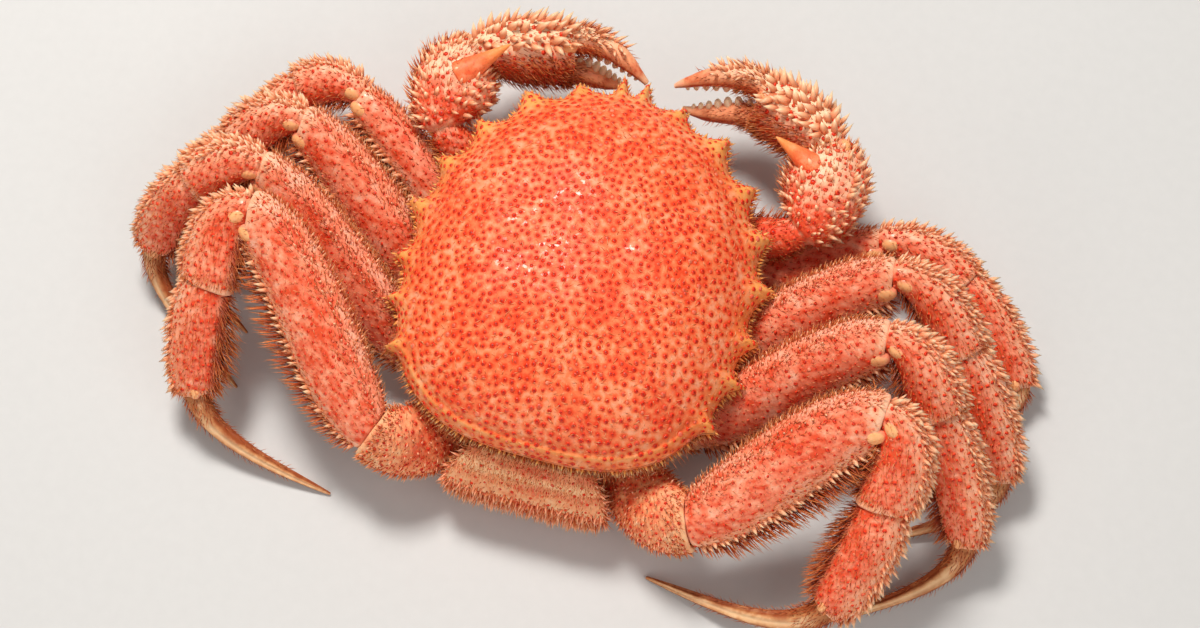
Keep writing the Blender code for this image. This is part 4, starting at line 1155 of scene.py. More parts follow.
def make_shell(settings):
    """The shell plate: outline rings raised to the rim and the dome, a grid over its middle."""
    fresh()
    bpy.ops.mesh.primitive_circle_add(vertices=settings.sides, radius=1.0, fill_type="NGON")
    shell = named("shell_plate")
    share, height = FLANK_RINGS[0]
    for i, vert in enumerate(shell.data.vertices):
        x, y = outline_point(2 * math.pi * (i + 0.5) / settings.sides, share)
        vert.co = placed((x, y, height))
    bpy.ops.object.mode_set(mode="EDIT")
    dome = ((s, float(dome_height(s))) for s in DOME_SHARES)
    raise_rings([*FLANK_RINGS, (1.0, RIM_Z), *dome], ORIGIN)
    bpy.ops.mesh.delete(type="ONLY_FACE")
    bpy.ops.mesh.select_mode(type="EDGE")
    bpy.ops.mesh.select_all(action="DESELECT")
    bpy.ops.mesh.select_non_manifold()
    bpy.ops.mesh.fill_grid(span=GRID_SPAN)
    close_up(shell)
    refine(shell, settings.levels)
    sculpt_shell(shell)
    return shell


def sculpt_shell(shell):
    """Dome, swellings, teeth and rear groove, moved into the fine mesh and marked on it."""
    points, _ = points_of(shell)
    x, y, z = own_places(points)
    share = outline_share(x, y)
    top = z > RIM_Z - RIM_SLACK
    z = np.where(top, dome_height(np.minimum(share, 1.0)), z)
    z += np.where(top, swelling(x, y) * smooth_share(1.0 - share, *SWELLING_FADE), 0.0)
    near = [smooth_share(share, start, 1.0) for start in PUSH_FROM]
    push = tooth_push(x, y) * np.where(top, *near)[:, None]
    rear = smooth_share(-y, *REAR_SPAN)
    z -= GROOVE_DEPTH * peak(share, REAR_GROOVE, GROOVE_WIDTH) * rear * top
    ridge = peak(share, REAR_RIDGE, GROOVE_WIDTH) * rear * top
    z += RIDGE_HEIGHT * ridge
    moved = np.stack([x + push[:, 0], y + push[:, 1], z], 1)
    set_points(shell, moved * MM + np.array(ORIGIN))
    teeth = TOOTH_CREAM * smooth_share(np.hypot(*push.T), *TOOTH_CREAM_SPAN)
    band = BAND_CREAM * smooth_share(share, *BAND_SPAN) * smooth_share(z, RIM_Z - BAND_HEIGHT, RIM_Z)
    band = band * (1.0 - BAND_LESS_BEHIND * rear)
    mark(shell, "cream", np.max([teeth, band, RIDGE_CREAM * ridge], axis=0))
    mark(shell, "blush", np.where(top, MIDDLE_BLUSH * smooth_share(share, *MIDDLE_SPAN), FLANK_BLUSH))


def limb_rings(part, limb, steps):
    """Rings of one limb: a neck sunk in the joint before it, the skin, and a cup or a point."""
    skin = [(t, 0.0, 1.0) for t in np.linspace(*SKIN_SPAN, steps)]
    end = POINT_RINGS if part in POINTED else CUP_RINGS
    return [limb.ring(*row) for row in (*NECK_RINGS, *skin, *end)]


def flute(piece, limb, depth):
    """Sink grooves along a toe, deepest past its root."""
    points, ways = points_of(piece)
    along, flexing, back = spot_on(limb, points)
    sink = 0.5 - 0.5 * np.cos(TOE_GROOVES * np.arctan2(back, flexing))
    sink = sink * smooth_share(along, *TOE_GROOVE_SPAN) * smooth_share(1.0 - along, *TOE_GROOVE_END)
    set_points(piece, points - ways * (sink * depth)[:, None])


def band(places, strength, spans):
    """A soft band over a skin: its strength, less where a place hasn't come through its span."""
    values = np.full(len(places["along"]), strength)
    for place, span in spans.items():
        values = values * smooth_share(places[place], *span)
    return values


def limb_marks(part, limb, points):
    """How creamy and how blushing a limb's skin is at each point, the creaminess of the carpus's and the
    propodus's upward outer faces being partly painted light.
    """
    along, flexing, back = spot_on(limb, points)
    places = {
        "along": along, "short": 1.0 - along, "inner": flexing, "outer": -flexing,
        "aside": np.abs(flexing), "back": back, "under": -back,
    }
    cream = np.max([band(places, *row) for row in CREAM_AND_PAINTED_LIGHT_BANDS[part]], axis=0)
    if part == "dactyl":
        cream = cream * peak(flexing, 0.0, TOE_STRIPE)
    else:
        cream = np.clip(cream + band(places, *UNDER_CREAM), 0.0, 1.0)
    if part in ("finger", "fixed"):
        cream = np.maximum(cream, band(places, *TIP_CREAM))
    return cream, sum(band(places, *row) for row in BLUSH_BANDS[part])


def make_limb(name, part, limb, settings):
    """One fine limb, marked with where it is pale and where it blushes."""
    piece = tube(f"{name}_{part}_plate", limb_rings(part, limb, settings.rings), settings.sides)
    refine(piece, settings.levels)
    if part == "dactyl":
        flute(piece, limb, settings.flutes)
    else:
        ruffle(piece, SKIN_GRAIN, settings.unevenness / MM)
    cream, blush = limb_marks(part, limb, keep_above(piece, FLOOR_GAP))
    mark(piece, "cream", cream)
    mark(piece, "blush", blush)
    return piece


def unit(rows):
    """Rows of ways, each of length one."""
    return rows / (np.linalg.norm(rows, axis=1, keepdims=True) + 1e-12)


def scatter(piece, spacing, seed, wanted):
    """Points spread over a piece, no two nearer than the spacing in millimetres, and their ways."""
    mesh = piece.data
    mesh.calc_loop_triangles()
    corners = np.empty(len(mesh.loop_triangles) * 3, np.int32)
    mesh.loop_triangles.foreach_get("vertices", corners)
    corners = corners.reshape(-1, 3)
    points, ways = points_of(piece)
    a, b, c = (points[corners[:, i]] for i in range(3))
    areas = np.linalg.norm(np.cross(b - a, c - a), axis=1) / 2
    areas = areas * wanted((a + b + c) / 3, unit(np.cross(b - a, c - a)))
    gap = spacing * MM
    chance = np.random.default_rng(seed)
    count = int(areas.sum() / gap**2 * TRIES)
    chosen = chance.choice(len(corners), count, p=areas / areas.sum())
    u, v = chance.random((2, count, 1))
    over = u + v > 1
    u, v = np.where(over, 1 - u, u), np.where(over, 1 - v, v)
    triangle = corners[chosen]
    shares = ((1 - u - v), u, v)
    spots = sum(points[triangle[:, i]] * shares[i] for i in range(3))
    outward = unit(sum(ways[triangle[:, i]] * shares[i] for i in range(3)))
    cells = {}
    kept = []
    keys = np.floor(spots / gap).astype(int).tolist()
    rows = spots.tolist()
    near = [(i, j, k) for i in (-1, 0, 1) for j in (-1, 0, 1) for k in (-1, 0, 1)]
    for index, ((i, j, k), (x, y, z)) in enumerate(zip(keys, rows)):
        clear = True
        for di, dj, dk in near:
            for px, py, pz in cells.get((i + di, j + dj, k + dk), ()):
                if (px - x) ** 2 + (py - y) ** 2 + (pz - z) ** 2 < gap * gap:
                    clear = False
                    break
            if not clear:
                break
        if clear:
            cells.setdefault((i, j, k), []).append((x, y, z))
            kept.append(index)
    return spots[kept], outward[kept]


class Coat:
    """Bristles, warts and spines gathered into one closed, joined mesh."""

    def __init__(self, name, seed):
        self.name = name
        self.chance = np.random.default_rng(seed)
        self.groups = []

    def vary(self, count, middle, spread):
        """Random sizes round a middle, by that share."""
        return middle * (1.0 + spread * (2.0 * self.chance.random(count) - 1.0))

    def tones(self, count, middle, spread=TONE_SPREAD):
        return np.clip(middle + self.chance.normal(0.0, spread, count), 0.0, 1.0)

    def stray(self, roots, spread):
        """A random way for each root."""
        return self.chance.normal(0.0, spread, roots.shape)

    def add(self, form, roots, ways, lies, lengths, radii, patches, tones, bend=0.5):
        """Grow one form from every root: its way out, where it lies, and its sizes in millimetres."""
        if not len(roots):
            return
        side = unit(np.cross(ways, lies) + 1e-9)
        start = unit(ways * (1.0 - 0.5 * bend) + lies * (0.5 * bend))
        finish = unit(ways * (1.0 - bend) + lies * bend)
        lengths = lengths * MM
        low, high = (np.array(corner) for corner in PACKED_BOX)
        low, high = low + BOX_MARGIN * MM, high - BOX_MARGIN * MM
        reach = (start + finish) / 2 * lengths[:, None]
        with np.errstate(divide="ignore", invalid="ignore"):
            room = np.where(reach > 0, (high - roots) / reach, (low - roots) / reach)
        room = np.clip(np.nan_to_num(room, nan=1.0, posinf=1.0), 0.0, 1.0).min(1)
        keep = room > LEAST_ROOM
        lengths = lengths * room
        data = (roots, start, finish, side, lengths, radii * MM, patches, tones)
        self.groups.append((form, *(values[keep] for values in data)))

    def build(self):
        """The joined mesh, with its patches, and tip, tone and kind kept for the material."""
        spots, spans, sizes, patches, marks = [], [], [], [], []
        first = 0
        for form, roots, start, finish, side, lengths, radii, patch, tones in self.groups:
            sides, rows = FORMS[form]
            count, each = len(roots), sides * len(rows) + 1
            verts = np.empty((count, each, 3))
            local = np.zeros((each, 2))
            tip = np.ones(each)
            turns = 2 * np.pi * np.arange(sides) / sides
            for r, (share, size) in enumerate(rows):
                path = start * (share - share**2 / 2) + finish * share**2 / 2
                middle = roots + lengths[:, None] * path
                deep = unit(np.cross(unit(start * (1 - share) + finish * share), side))
                for k, turn in enumerate(turns):
                    round_it = side * np.cos(turn) + deep * np.sin(turn)
                    verts[:, r * sides + k] = middle + round_it * (radii * size)[:, None]
                    spread = 0.5 * PATCH * (1 - max(share, 0.0) * PATCH_TAPER)
                    local[r * sides + k] = (spread * np.cos(turn), spread * np.sin(turn))
                    tip[r * sides + k] = max(share, 0.0)
            verts[:, -1] = roots + lengths[:, None] * (start + finish) / 2
            faces = [list(range(sides))[::-1]]
            for r in range(len(rows) - 1):
                for k in range(sides):
                    n = (k + 1) % sides
                    faces.append([r * sides + k, r * sides + n, (r + 1) * sides + n, (r + 1) * sides + k])
            last = (len(rows) - 1) * sides
            faces += [[last + k, last + (k + 1) % sides, each - 1] for k in range(sides)]
            corners = np.array([corner for face in faces for corner in face])
            spots.append(verts.reshape(-1, 3))
            spans.append((corners[None] + first + np.arange(count)[:, None] * each).ravel())
            sizes.append(np.tile([len(face) for face in faces], count))
            patches.append((patch[:, None] + local[corners][None]).reshape(-1, 2))
            marks.append(np.stack([
                np.tile(tip, count), np.repeat(tones, each), np.full(count * each, KINDS[form]),
            ]))
            first += count * each
        return self.mesh(*(np.concatenate(rows) for rows in (spots, spans, sizes, patches)),
                         np.concatenate(marks, 1))

    def mesh(self, spots, spans, sizes, patches, marks):
        mesh = bpy.data.meshes.new(self.name)
        mesh.vertices.add(len(spots))
        mesh.vertices.foreach_set("co", spots.astype(np.float32).ravel())
        mesh.loops.add(len(spans))
        mesh.loops.foreach_set("vertex_index", spans.astype(np.int32))
        mesh.polygons.add(len(sizes))
        starts = np.concatenate([[0], np.cumsum(sizes)[:-1]])
        mesh.polygons.foreach_set("loop_start", starts.astype(np.int32))
        mesh.polygons.foreach_set("use_smooth", np.ones(len(sizes), bool))
        mesh.update(calc_edges=True)
        layer = mesh.uv_layers.new(name="OFBake")
        layer.data.foreach_set("uv", patches.astype(np.float32).ravel())
        piece = bpy.data.objects.new(self.name, mesh)
        bpy.context.scene.collection.objects.link(piece)
        for name, values in zip(("tip", "tone", "kind"), marks):
            mark(piece, name, values)
        return piece


def limb_patches(along, flexing, back, strip, strips):
    """Places on a limb's own unwrap: its turn across, its length up, one strip for each limb."""
    turn = np.arctan2(back, flexing) / (2 * math.pi) + 0.5
    return np.stack([(strip + 0.02 + 0.96 * turn) / strips, 0.02 + 0.96 * along], 1)


def sheet_patches(across, up):
    """Places on a piece seen flat, kept inside the map."""
    return np.clip(np.stack([across, up], 1), 0.01, 0.99)


def spacing_of(spacing):
    """A spacing, wider where the user wants fewer bristles."""
    return spacing / math.sqrt(bpy.context.scene.crab_coat.density)


def modelled(name):
    """A piece that a coat grows on."""
    piece = bpy.data.objects.get(name)
    if piece is None:
        raise RuntimeError(f"{name} is not modelled yet")
    return piece


def grow_on_limb(coat, piece, limb, growths, strip, strips):
    """Everything that grows on one limb."""
    for number, (form, spacing, zone, length, radius, lean, bend, tone) in enumerate(growths):
        seed = sum(map(ord, piece.name)) * 7 + number

        def wanted(middles, ways):
            along, flexing, back = spot_on(limb, middles)
            inside = (along > LIMB_SPAN[0]) & (along < LIMB_SPAN[1])
            return inside & ZONES[zone](along, flexing, back)

        roots, ways = scatter(piece, spacing_of(spacing), seed, wanted)
        if form == "wart":
            redden(piece, roots, *LIMB_BLUSH)
        along, flexing, back = spot_on(limb, roots)
        tipward = unit(np.array([limb.way(t) for t in along]))
        stray = coat.stray(roots, WAY_SPREAD)
        lies = unit(tipward + stray)
        out = unit(ways * (1.0 - lean * 0.5) + lies * (lean * 0.5) + 0.4 * stray)
        lengths = coat.vary(len(roots), length, LENGTH_SPREAD)
        if form == "fringe":
            middling = np.clip(4.0 * along * (1.0 - along), 0.0, 1.0)
            lengths = lengths * (FRINGE_ENDS + (1.0 - FRINGE_ENDS) * middling)
        tones = coat.tones(len(roots), tone, LIMB_TONE_SPREAD[form])
        radii = coat.vary(len(roots), radius, WART_RADIUS_SPREAD if form == "wart" else RADIUS_SPREAD)
        patches = limb_patches(along, flexing, back, strip, strips)
        coat.add(form, roots, out, lies, lengths, radii, patches, tones, bend)


def coat_limbs(name, limbs, growths):
    """The joined coat of one leg or claw."""
    coat = Coat(f"{name}_coat", sum(map(ord, name)))
    for strip, (part, limb) in enumerate(limbs.items()):
        piece = modelled(f"{name}_{part}_plate")
        grow_on_limb(coat, piece, limb, growths[part], strip, len(limbs))
    finish_piece(coat.build(), looks()["coat"], [])


def shell_roots(shell, spacing, seed, zone):
    """Roots spread over a zone of the shell, their ways and their places on the map."""
    def wanted(middles, ways):
        x, y, z = own_places(middles)
        return SHELL_ZONES[zone](outline_share(x, y), y, z, ways[:, 2])

    roots, ways = scatter(shell, spacing_of(spacing), seed, wanted)
    x, y, _ = own_places(roots)
    return roots, ways, sheet_patches(0.5 + x / 130.0, 0.5 + y / 130.0)


def coat_dome(shell):
    """The warts and the short bristles of the dome."""
    coat = Coat("shell_coat", seed=5)
    grown = []
    for seed, zone, spacing, least in SHELL_WARTS:
        roots, ways, patches = shell_roots(shell, spacing, seed, zone)
        size = least + WART_GROWTH * coat.chance.random(len(roots)) ** WART_RARITY
        lies = unit(coat.stray(roots, 1.0) * LEVEL + (0, 0.6, 0))
        tones = coat.tones(len(roots), WART_TONE, SHELL_TONE_SPREAD)
        height = WART_HEIGHT[0] * size + WART_HEIGHT[1]
        coat.add("wart", roots, ways, lies, height, size, patches, tones, 0.2)
        grown.append(roots)
    redden(shell, np.concatenate(grown), *SHELL_BLUSH)
    seed, spacing, length, radius, tone = SHELL_HAIR
    roots, ways, patches = shell_roots(shell, spacing, seed, "dome")
    lies = unit(coat.stray(roots, 1.0) * LEVEL + (0, 0.5, 0))
    lies = unit(lies - ways * (lies * ways).sum(1, keepdims=True))
    lengths = coat.vary(len(roots), length, 0.4)
    tones = coat.tones(len(roots), tone, SHELL_TONE_SPREAD)
    radii = coat.vary(len(roots), radius, RADIUS_SPREAD)
    coat.add("hair", roots, unit(ways * 0.55 + lies), lies, lengths, radii, patches, tones, 0.55)
    finish_piece(coat.build(), looks()["shell_coat"], [])


def coat_rim(shell):
    """The longer fringe round the shell's rim and down its flanks."""
    coat = Coat("shell_fringe", seed=6)
    for seed, spacing, zone, form, length, radius, tone in SHELL_FRINGE:
        roots, ways, patches = shell_roots(shell, spacing, seed, zone)
        x, y, z = own_places(roots)
        away = unit(np.stack([x, y, 0 * z], 1))
        stray = coat.stray(roots, 0.22)
        out = unit(ways * 0.5 + away * 0.7 + stray)
        lengths = coat.vary(len(roots), length, LENGTH_SPREAD)
        tones = coat.tones(len(roots), tone)
        radii = coat.vary(len(roots), radius, 0.25)
        coat.add(form, roots, out, unit(away + stray), lengths, radii, patches, tones, 0.4)
    finish_piece(coat.build(), looks()["shell_coat"], [])


def coat_belly():
    """Short bristles on the belly flap's rear, sparse ones below, and a fringe down its sides."""
    coat = Coat("belly_coat", seed=9)
    flap = modelled("belly_flap_plates")
    for seed, spacing, zone, form, length, radius, tone, lean in FLAP_COAT:
        def wanted(middles, ways):
            return FLAP_ZONES[zone](*own_places(middles)[1:], ways.T)

        roots, ways = scatter(flap, spacing_of(spacing), seed, wanted)
        x, y, z = own_places(roots)
        down = np.stack([0 * z, np.where(z > 8, -0.3, 0.8), np.full(len(z), -0.5)], 1)
        stray = coat.stray(roots, WAY_SPREAD)
        lies = unit(down + stray)
        out = unit(ways * (1 - lean / 2) + lies * lean / 2 + 0.3 * stray)
        tones = coat.tones(len(roots), tone)
        lengths = coat.vary(len(roots), length, LENGTH_SPREAD)
        radii = coat.vary(len(roots), radius, RADIUS_SPREAD)
        patches = sheet_patches(0.5 + x / 60.0, (y - z + 90.0) / 100.0)
        coat.add(form, roots, out, lies, lengths, radii, patches, tones, 0.4)
    finish_piece(coat.build(), looks()["coat"], [])


def coat_face():
    """The bristles of the mouth plates, the feelers' roots and the breast."""
    coat = Coat("face_coat", seed=10)
    growths = [(f"{name}_{side}", *rest) for name, *rest in FACE_COAT for side in ("left", "right")]
    for name, spacing, form, length, radius, tone, seed in (*growths, *BREAST_COAT):
        roots, ways = scatter(
            modelled(name), spacing_of(spacing), seed, lambda middles, ways: middles[:, 2] > LOWEST * MM)
        lies = unit(np.array(FACE_LIE) + coat.stray(roots, 0.3))
        x, y, z = own_places(roots)
        tones = coat.tones(len(roots), tone)
        lengths = coat.vary(len(roots), length, LENGTH_SPREAD)
        radii = coat.vary(len(roots), radius, RADIUS_SPREAD)
        patches = sheet_patches(0.5 + x / 70.0, 0.5 + (y + z) / 160.0)
        coat.add(form, roots, unit(ways * 0.8 + lies * 0.4), lies, lengths, radii, patches, tones, 0.5)
    finish_piece(coat.build(), looks()["coat"], [])


def coat_material(name, spines):
    """Bristles dark at the root and golden at the tip, red warts with a dark point, cream spines."""
    material, nodes, shader = new_material(name)
    c = bpy.context.scene.crab_colours
    tip, tone, kind = (
        nodes.add("ShaderNodeAttribute", attribute_name=label).outputs["Fac"]
        for label in ("tip", "tone", "kind")
    )
    lighter = nodes.math("ADD", nodes.math("MULTIPLY", tip, 0.55), nodes.math("MULTIPLY", tone, 0.55))
    hair = nodes.ramp(lighter, (0.0, c.bristle_root), (0.30, c.bristle_dark),
                      (0.58, c.bristle_light), (0.95, c.bristle_tip))
    wart = nodes.ramp(tip, (0.0, c.wart_low), (0.58, c.wart_red), (1.0, c.wart_top))
    wart = nodes.mix(nodes.fade(tone, 0.55, 1.0, 0.0, 0.8), wart, c.leg_pale)
    spine = nodes.ramp(tip, *zip((0.0, 0.45, 0.9), spines))
    spine = nodes.mix(nodes.fade(tone, 0.3, 0.9, 0.35, 0.0), spine, c.wart_low)
    colour = nodes.mix(nodes.math("GREATER_THAN", kind, 0.25), hair, wart)
    colour = nodes.mix(nodes.math("GREATER_THAN", kind, 0.75), colour, spine)
    where = nodes.add("ShaderNodeTexCoord").outputs["Object"]
    nodes.feed(shader, {
        "Base Color": colour,
        "Roughness": nodes.fade(nodes.noise(where, 900.0), 0.3, 0.7, 0.28, 0.5),
        "Subsurface Weight": 0.1,
        "Subsurface Radius": (1.0, 0.4, 0.2),
        "Subsurface Scale": 0.0006,
        "Specular IOR Level": 0.28,
        "Coat Weight": 0.06,
        "Coat Roughness": 0.2,
    })
    return material


def bead_rings(centre, way, flat, length, wide, deep, count=6):
    """Rings of a smooth rounded body: its middle and axes, and its three sizes in millimetres."""
    rings = []
    for i in range(count):
        angle = math.radians(-BEAD_END + 2 * BEAD_END * i / (count - 1))
        size = math.cos(angle)
        middle = centre + way * (length / 2 * MM * math.sin(angle) / math.sin(math.radians(BEAD_END)))
        rings.append((middle, turn_of(flat, way), wide / 2 * MM * size, deep / 2 * MM * size))
    return rings


def cross_axes(way, hint=Vector((0, 0, 1))):
    """A way and the flat axis across it that lies nearest level to the hint."""
    way = way.normalized()
    return way, hint.cross(way).normalized()


def make_bead(name, centre, way, sizes, hint):
    """A small smooth bead with its three sizes in millimetres."""
    piece = tube(name, bead_rings(centre, *cross_axes(way, hint), *sizes), sides=8)
    refine(piece, 2)
    return piece


def rod(name, ends, shape, sides, levels=2, axes=None, squareness=1.0):
    """A straight piece between two ends: rows of place along it, half its width and half its depth."""
    start, end = ends
    way, flat = axes or cross_axes(end - start)
    rings = [
        (start.lerp(end, t), turn_of(flat, way), wide * MM, deep * MM) for t, wide, deep in shape
    ]
    piece = tube(name, rings, sides, squareness)
    refine(piece, levels)
    return piece


def rounded(shape, radius=1.0):
    """Rows of a rod that is as wide as it is deep."""
    return [(min(t, 1.0), radius * size, radius * size) for t, size in shape]


def pair_ends(start, end, side):
    """The ends of one of a pair of pieces, given for the right side."""
    return placed(mirrored(start, side)), placed(mirrored(end, side))


def joined(name, pieces):
    """Join pieces into one mesh with bpy's own join."""
    fresh()
    for piece in pieces:
        piece.select_set(True)
    bpy.context.view_layer.objects.active = pieces[0]
    bpy.ops.object.join()
    return named(name)


def make_knobs(name, limbs, knobs):
    """The smooth pale knobs that a limb's joints turn on."""
    pieces = []
    for i, (part, t, turn, sizes) in enumerate(knobs):
        point, out, way = limbs[part].skin(t, turn)
        centre = point - out * (sizes[2] * KNOB_SINK * MM)
        piece = make_bead(f"{name}_knob_{i}", centre, way, sizes, out)
        _, ways = points_of(piece)
        turned = 1.0 - ways @ np.array(out)
        mark(piece, "cream", np.zeros(len(ways)))
        mark(piece, "blush", KNOB_BLUSH * smooth_share(turned, *KNOB_BLUSH_SPAN))
        pieces.append(piece)
    return joined(f"{name}_knobs", pieces)


def make_finger_teeth(name, limbs):
    """The blunt teeth of a claw's two fingers."""
    pieces = []
    for part, turn in BITING_TURN.items():
        for i, (t, size) in enumerate(FINGER_TEETH):
            point, out, way = limbs[part].skin(t, turn)
            sizes = [size * share for share in FINGER_TOOTH_SHAPE]
            pieces.append(make_bead(f"{name}_{part}_tooth_{i}", point, out, sizes, way))
    teeth = joined(f"{name}_teeth", pieces)
    mark_evenly(teeth)
    return teeth


def make_corner_spine(name):
    """The long spine at the wrist's inner front corner, creamier towards its tip."""
    root, tip = ends = [placed(point) for point in CORNER_SPINES[name]]
    piece = rod(f"{name}_corner_spine", ends, rounded(CORNER_SPINE_SHAPE), sides=10)
    points, _ = points_of(piece)
    way = (tip - root).normalized()
    along = ((points - np.array(root)) @ np.array(way)) / (tip - root).length
    mark(piece, "cream", smooth_share(along, 0.2, 0.9) * 0.55)
    mark(piece, "blush", -0.1 * smooth_share(along, 0.2, 0.8))
    return piece


def line_corner(first, second):
    """Where two level lines meet, each given by a point on it and the way it faces."""
    (p, n), (q, m) = first, second
    a, b = n.dot(p), m.dot(q)
    span = n.x * m.y - n.y * m.x
    return Vector(((a * m.y - b * n.y) / span, (n.x * b - m.x * a) / span, 0.0))


def breast_outline(count):
    """Points round the breast plate, whose flat sides face the sockets."""
    faces = [(Vector((0, BREAST_FRONT, 0)), Vector((0, 1, 0)))]
    faces += [(Vector((x, y, 0)), heading_way(h, 1)) for x, y, h in SOCKETS]
    faces += [(Vector((0, BREAST_REAR, 0)), Vector((0, -1, 0)))]
    moved = [(point - way * 0.15, way) for point, way in faces]
    half = [line_corner(a, b) for a, b in zip(moved, moved[1:])]
    corners = half + [Vector((-p.x, p.y, 0)) for p in reversed(half)]
    lengths = [(b - a).length for a, b in zip(corners, corners[1:] + corners[:1])]
    total = sum(lengths)
    points = []
    for i in range(count):
        reach = total * i / count
        for corner, following, length in zip(corners, corners[1:] + corners[:1], lengths):
            if reach <= length:
                points.append(corner.lerp(following, reach / length))
                break
            reach -= length
    return points


def make_breast():
    """The breast plate, grooved between its segments, with a channel for the flap."""
    fresh()
    bpy.ops.mesh.primitive_circle_add(vertices=BREAST_POINTS, radius=1.0, fill_type="NGON")
    piece = named("breast_plate")
    share, height = BREAST_RINGS[0]
    for vert, point in zip(piece.data.vertices, breast_outline(BREAST_POINTS)):
        ahead = (point.y - BREAST_MIDDLE) * share + BREAST_MIDDLE
        vert.co = placed((point.x * share, ahead, height))
    bpy.ops.object.mode_set(mode="EDIT")
    raise_rings(BREAST_RINGS, placed((0, BREAST_MIDDLE, 0)))
    close_up(piece)
    refine(piece, 2)
    points, ways = points_of(piece)
    x, y, _ = own_places(points)
    under = smooth_share(-ways[:, 2], *UNDER_SPAN)
    lines = [(y0 + y1) / 2 for (_, y0, _), (_, y1, _) in zip(SOCKETS, SOCKETS[1:])]
    seams = sum(peak(y - SEAM_SLANT * np.abs(x), line, SEAM_WIDTH) for line in lines)
    channel = np.exp(-(x / (CHANNEL_HALF[0] + CHANNEL_HALF[1] * np.clip(-y, 0, None))) ** 4)
    rise = SEAM_DEPTH * seams * smooth_share(np.abs(x), *SEAM_SPAN) + CHANNEL_DEPTH * channel
    points[:, 2] += under * rise * MM
    set_points(piece, points)
    mark(piece, "cream", BREAST_TINT * under * (1 - np.clip(seams, 0, 1)))
    mark(piece, "blush", BREAST_TINT * np.clip(seams, 0, 1) * under)
    return piece


def make_breast_boss():
    """The boss of the breast that rests on the floor."""
    half, front, rear = BREAST_PAD
    reach = (front - rear) / 2
    rings = [
        (placed((0, (front + rear) / 2, z)), Matrix.Identity(3), half * size * MM, reach * size * MM)
        for z, size in PAD_RINGS
    ]
    piece = tube("breast_boss", rings, sides=24)
    refine(piece, 2)
    keep_above(piece, FLOOR_GAP)
    mark_evenly(piece, 0.2)
    return piece


def make_flap():
    """The belly flap, one swell for each of its segments and a groove between them."""
    turns = []
    points = [Vector((0, y, z)) for y, z, _, _ in FLAP_STATIONS]
    for before, after in zip([points[0], *points], [*points[1:], points[-1]]):
        turns.append(turn_of(Vector((1, 0, 0)), (after - before).normalized()))
    rings = []
    for i, ((y0, z0, w0, h0), (y1, z1, w1, h1)) in enumerate(zip(FLAP_STATIONS, FLAP_STATIONS[1:])):
        for f, wide, deep in SEGMENT_SHAPE:
            middle = placed((0, y0 + (y1 - y0) * f, z0 + (z1 - z0) * f))
            turn = turns[i].to_quaternion().slerp(turns[i + 1].to_quaternion(), f).to_matrix()
            half_wide, half_deep = w0 + (w1 - w0) * f, h0 + (h1 - h0) * f
            rings.append((middle, turn, half_wide * wide * MM, half_deep * deep * MM))
    y, z, wide, deep = FLAP_STATIONS[-1]
    rings.append((placed((0, y, z)), turns[-1], wide * FLAP_END[0] * MM, deep * FLAP_END[1] * MM))
    piece = tube("belly_flap_plates", rings, sides=28, squareness=FLAP_SQUARENESS)
    refine(piece, 2)
    ruffle(piece, *FLAP_GRAIN)
    x, y, height = own_places(keep_above(piece, FLAP_FLOOR_GAP))
    behind = y < FLAP_SEAMS_BEHIND
    seams = [z for _, z, _, _ in FLAP_STATIONS[:FLAP_SEAMS]]
    groove = sum(peak(height, z, FLAP_GROOVE_WIDTH) for z in seams) * behind
    lip = sum(peak(height, z + FLAP_LIP[0], FLAP_LIP[1]) for z in seams) * behind
    cream = 0.2 * smooth_share(np.abs(x), 4.0, 12.0) + 0.55 * lip
    mark(piece, "cream", np.clip(cream, 0.0, 1.0))
    mark(piece, "blush", 0.35 * groove + 0.1 * smooth_share(height, 18.0, 13.0) - 0.15 * lip)
    return piece


def make_eye_stalk(side):
    """The short stalk that carries an eye."""
    shape = rounded(STALK_SHAPE, STALK_RADIUS)
    piece = rod(f"eye_stalk_{side_label(side)}", pair_ends(STALK_FROM, EYE_AT, side), shape, sides=12)
    mark_evenly(piece, 0.3, 0.2)
    return piece


def make_eye(side):
    """The eye itself: a dark bead a little longer than wide at the stalk's end."""
    start, end = pair_ends(STALK_FROM, EYE_AT, side)
    way = (end - start).normalized()
    sizes = [2 * EYE_RADIUS * share for share in EYE_SHAPE]
    rings = bead_rings(end + way * (EYE_FORWARD * MM), *cross_axes(way), *sizes, 8)
    piece = tube(f"eye_bead_{side_label(side)}", rings, sides=16)
    refine(piece, 2)
    return piece


def make_feeler(side):
    """A feeler folded across the front: a stout root and a whip of short joints."""
    shape = list(FEELER_ROOT)
    for i in range(WHIP_JOINTS):
        place = WHIP_START + WHIP_REACH * i / (WHIP_JOINTS - 1)
        size = WHIP_SIZE - WHIP_LOSS * i / (WHIP_JOINTS - 1)
        shape += [(place, size * WHIP_WAIST), (place + WHIP_STEP, size)]
    ends = pair_ends(FEELER_FROM, FEELER_TO, side)
    piece = rod(f"feeler_whip_{side_label(side)}", ends, rounded(shape), sides=8, levels=1)
    mark_evenly(piece, 0.15, 0.1)
    return piece


def make_jaw(side):
    """One of the two plates that close over the mouth, with the crease across it."""
    start, end = ends = pair_ends(JAW_FROM, JAW_TO, side)
    axes = (end - start).normalized(), Vector((1, 0, 0))
    piece = rod(
        f"jaw_plate_{side_label(side)}", ends, JAW_RINGS, sides=20, axes=axes,
        squareness=JAW_SQUARENESS)
    ruffle(piece, *JAW_GRAIN)
    x, _, height = own_places(points_of(piece)[0])
    crease = peak(height, JAW_CREASE, JAW_CREASE_WIDTH)
    edge = smooth_share(np.abs(np.abs(x) - JAW_FROM[0]), 2.6, 3.9)
    mark(piece, "cream", 0.6 * edge)
    mark(piece, "blush", 0.45 * crease + 0.2 * smooth_share(height, JAW_CREASE, JAW_CREASE - 6.0))
    return piece


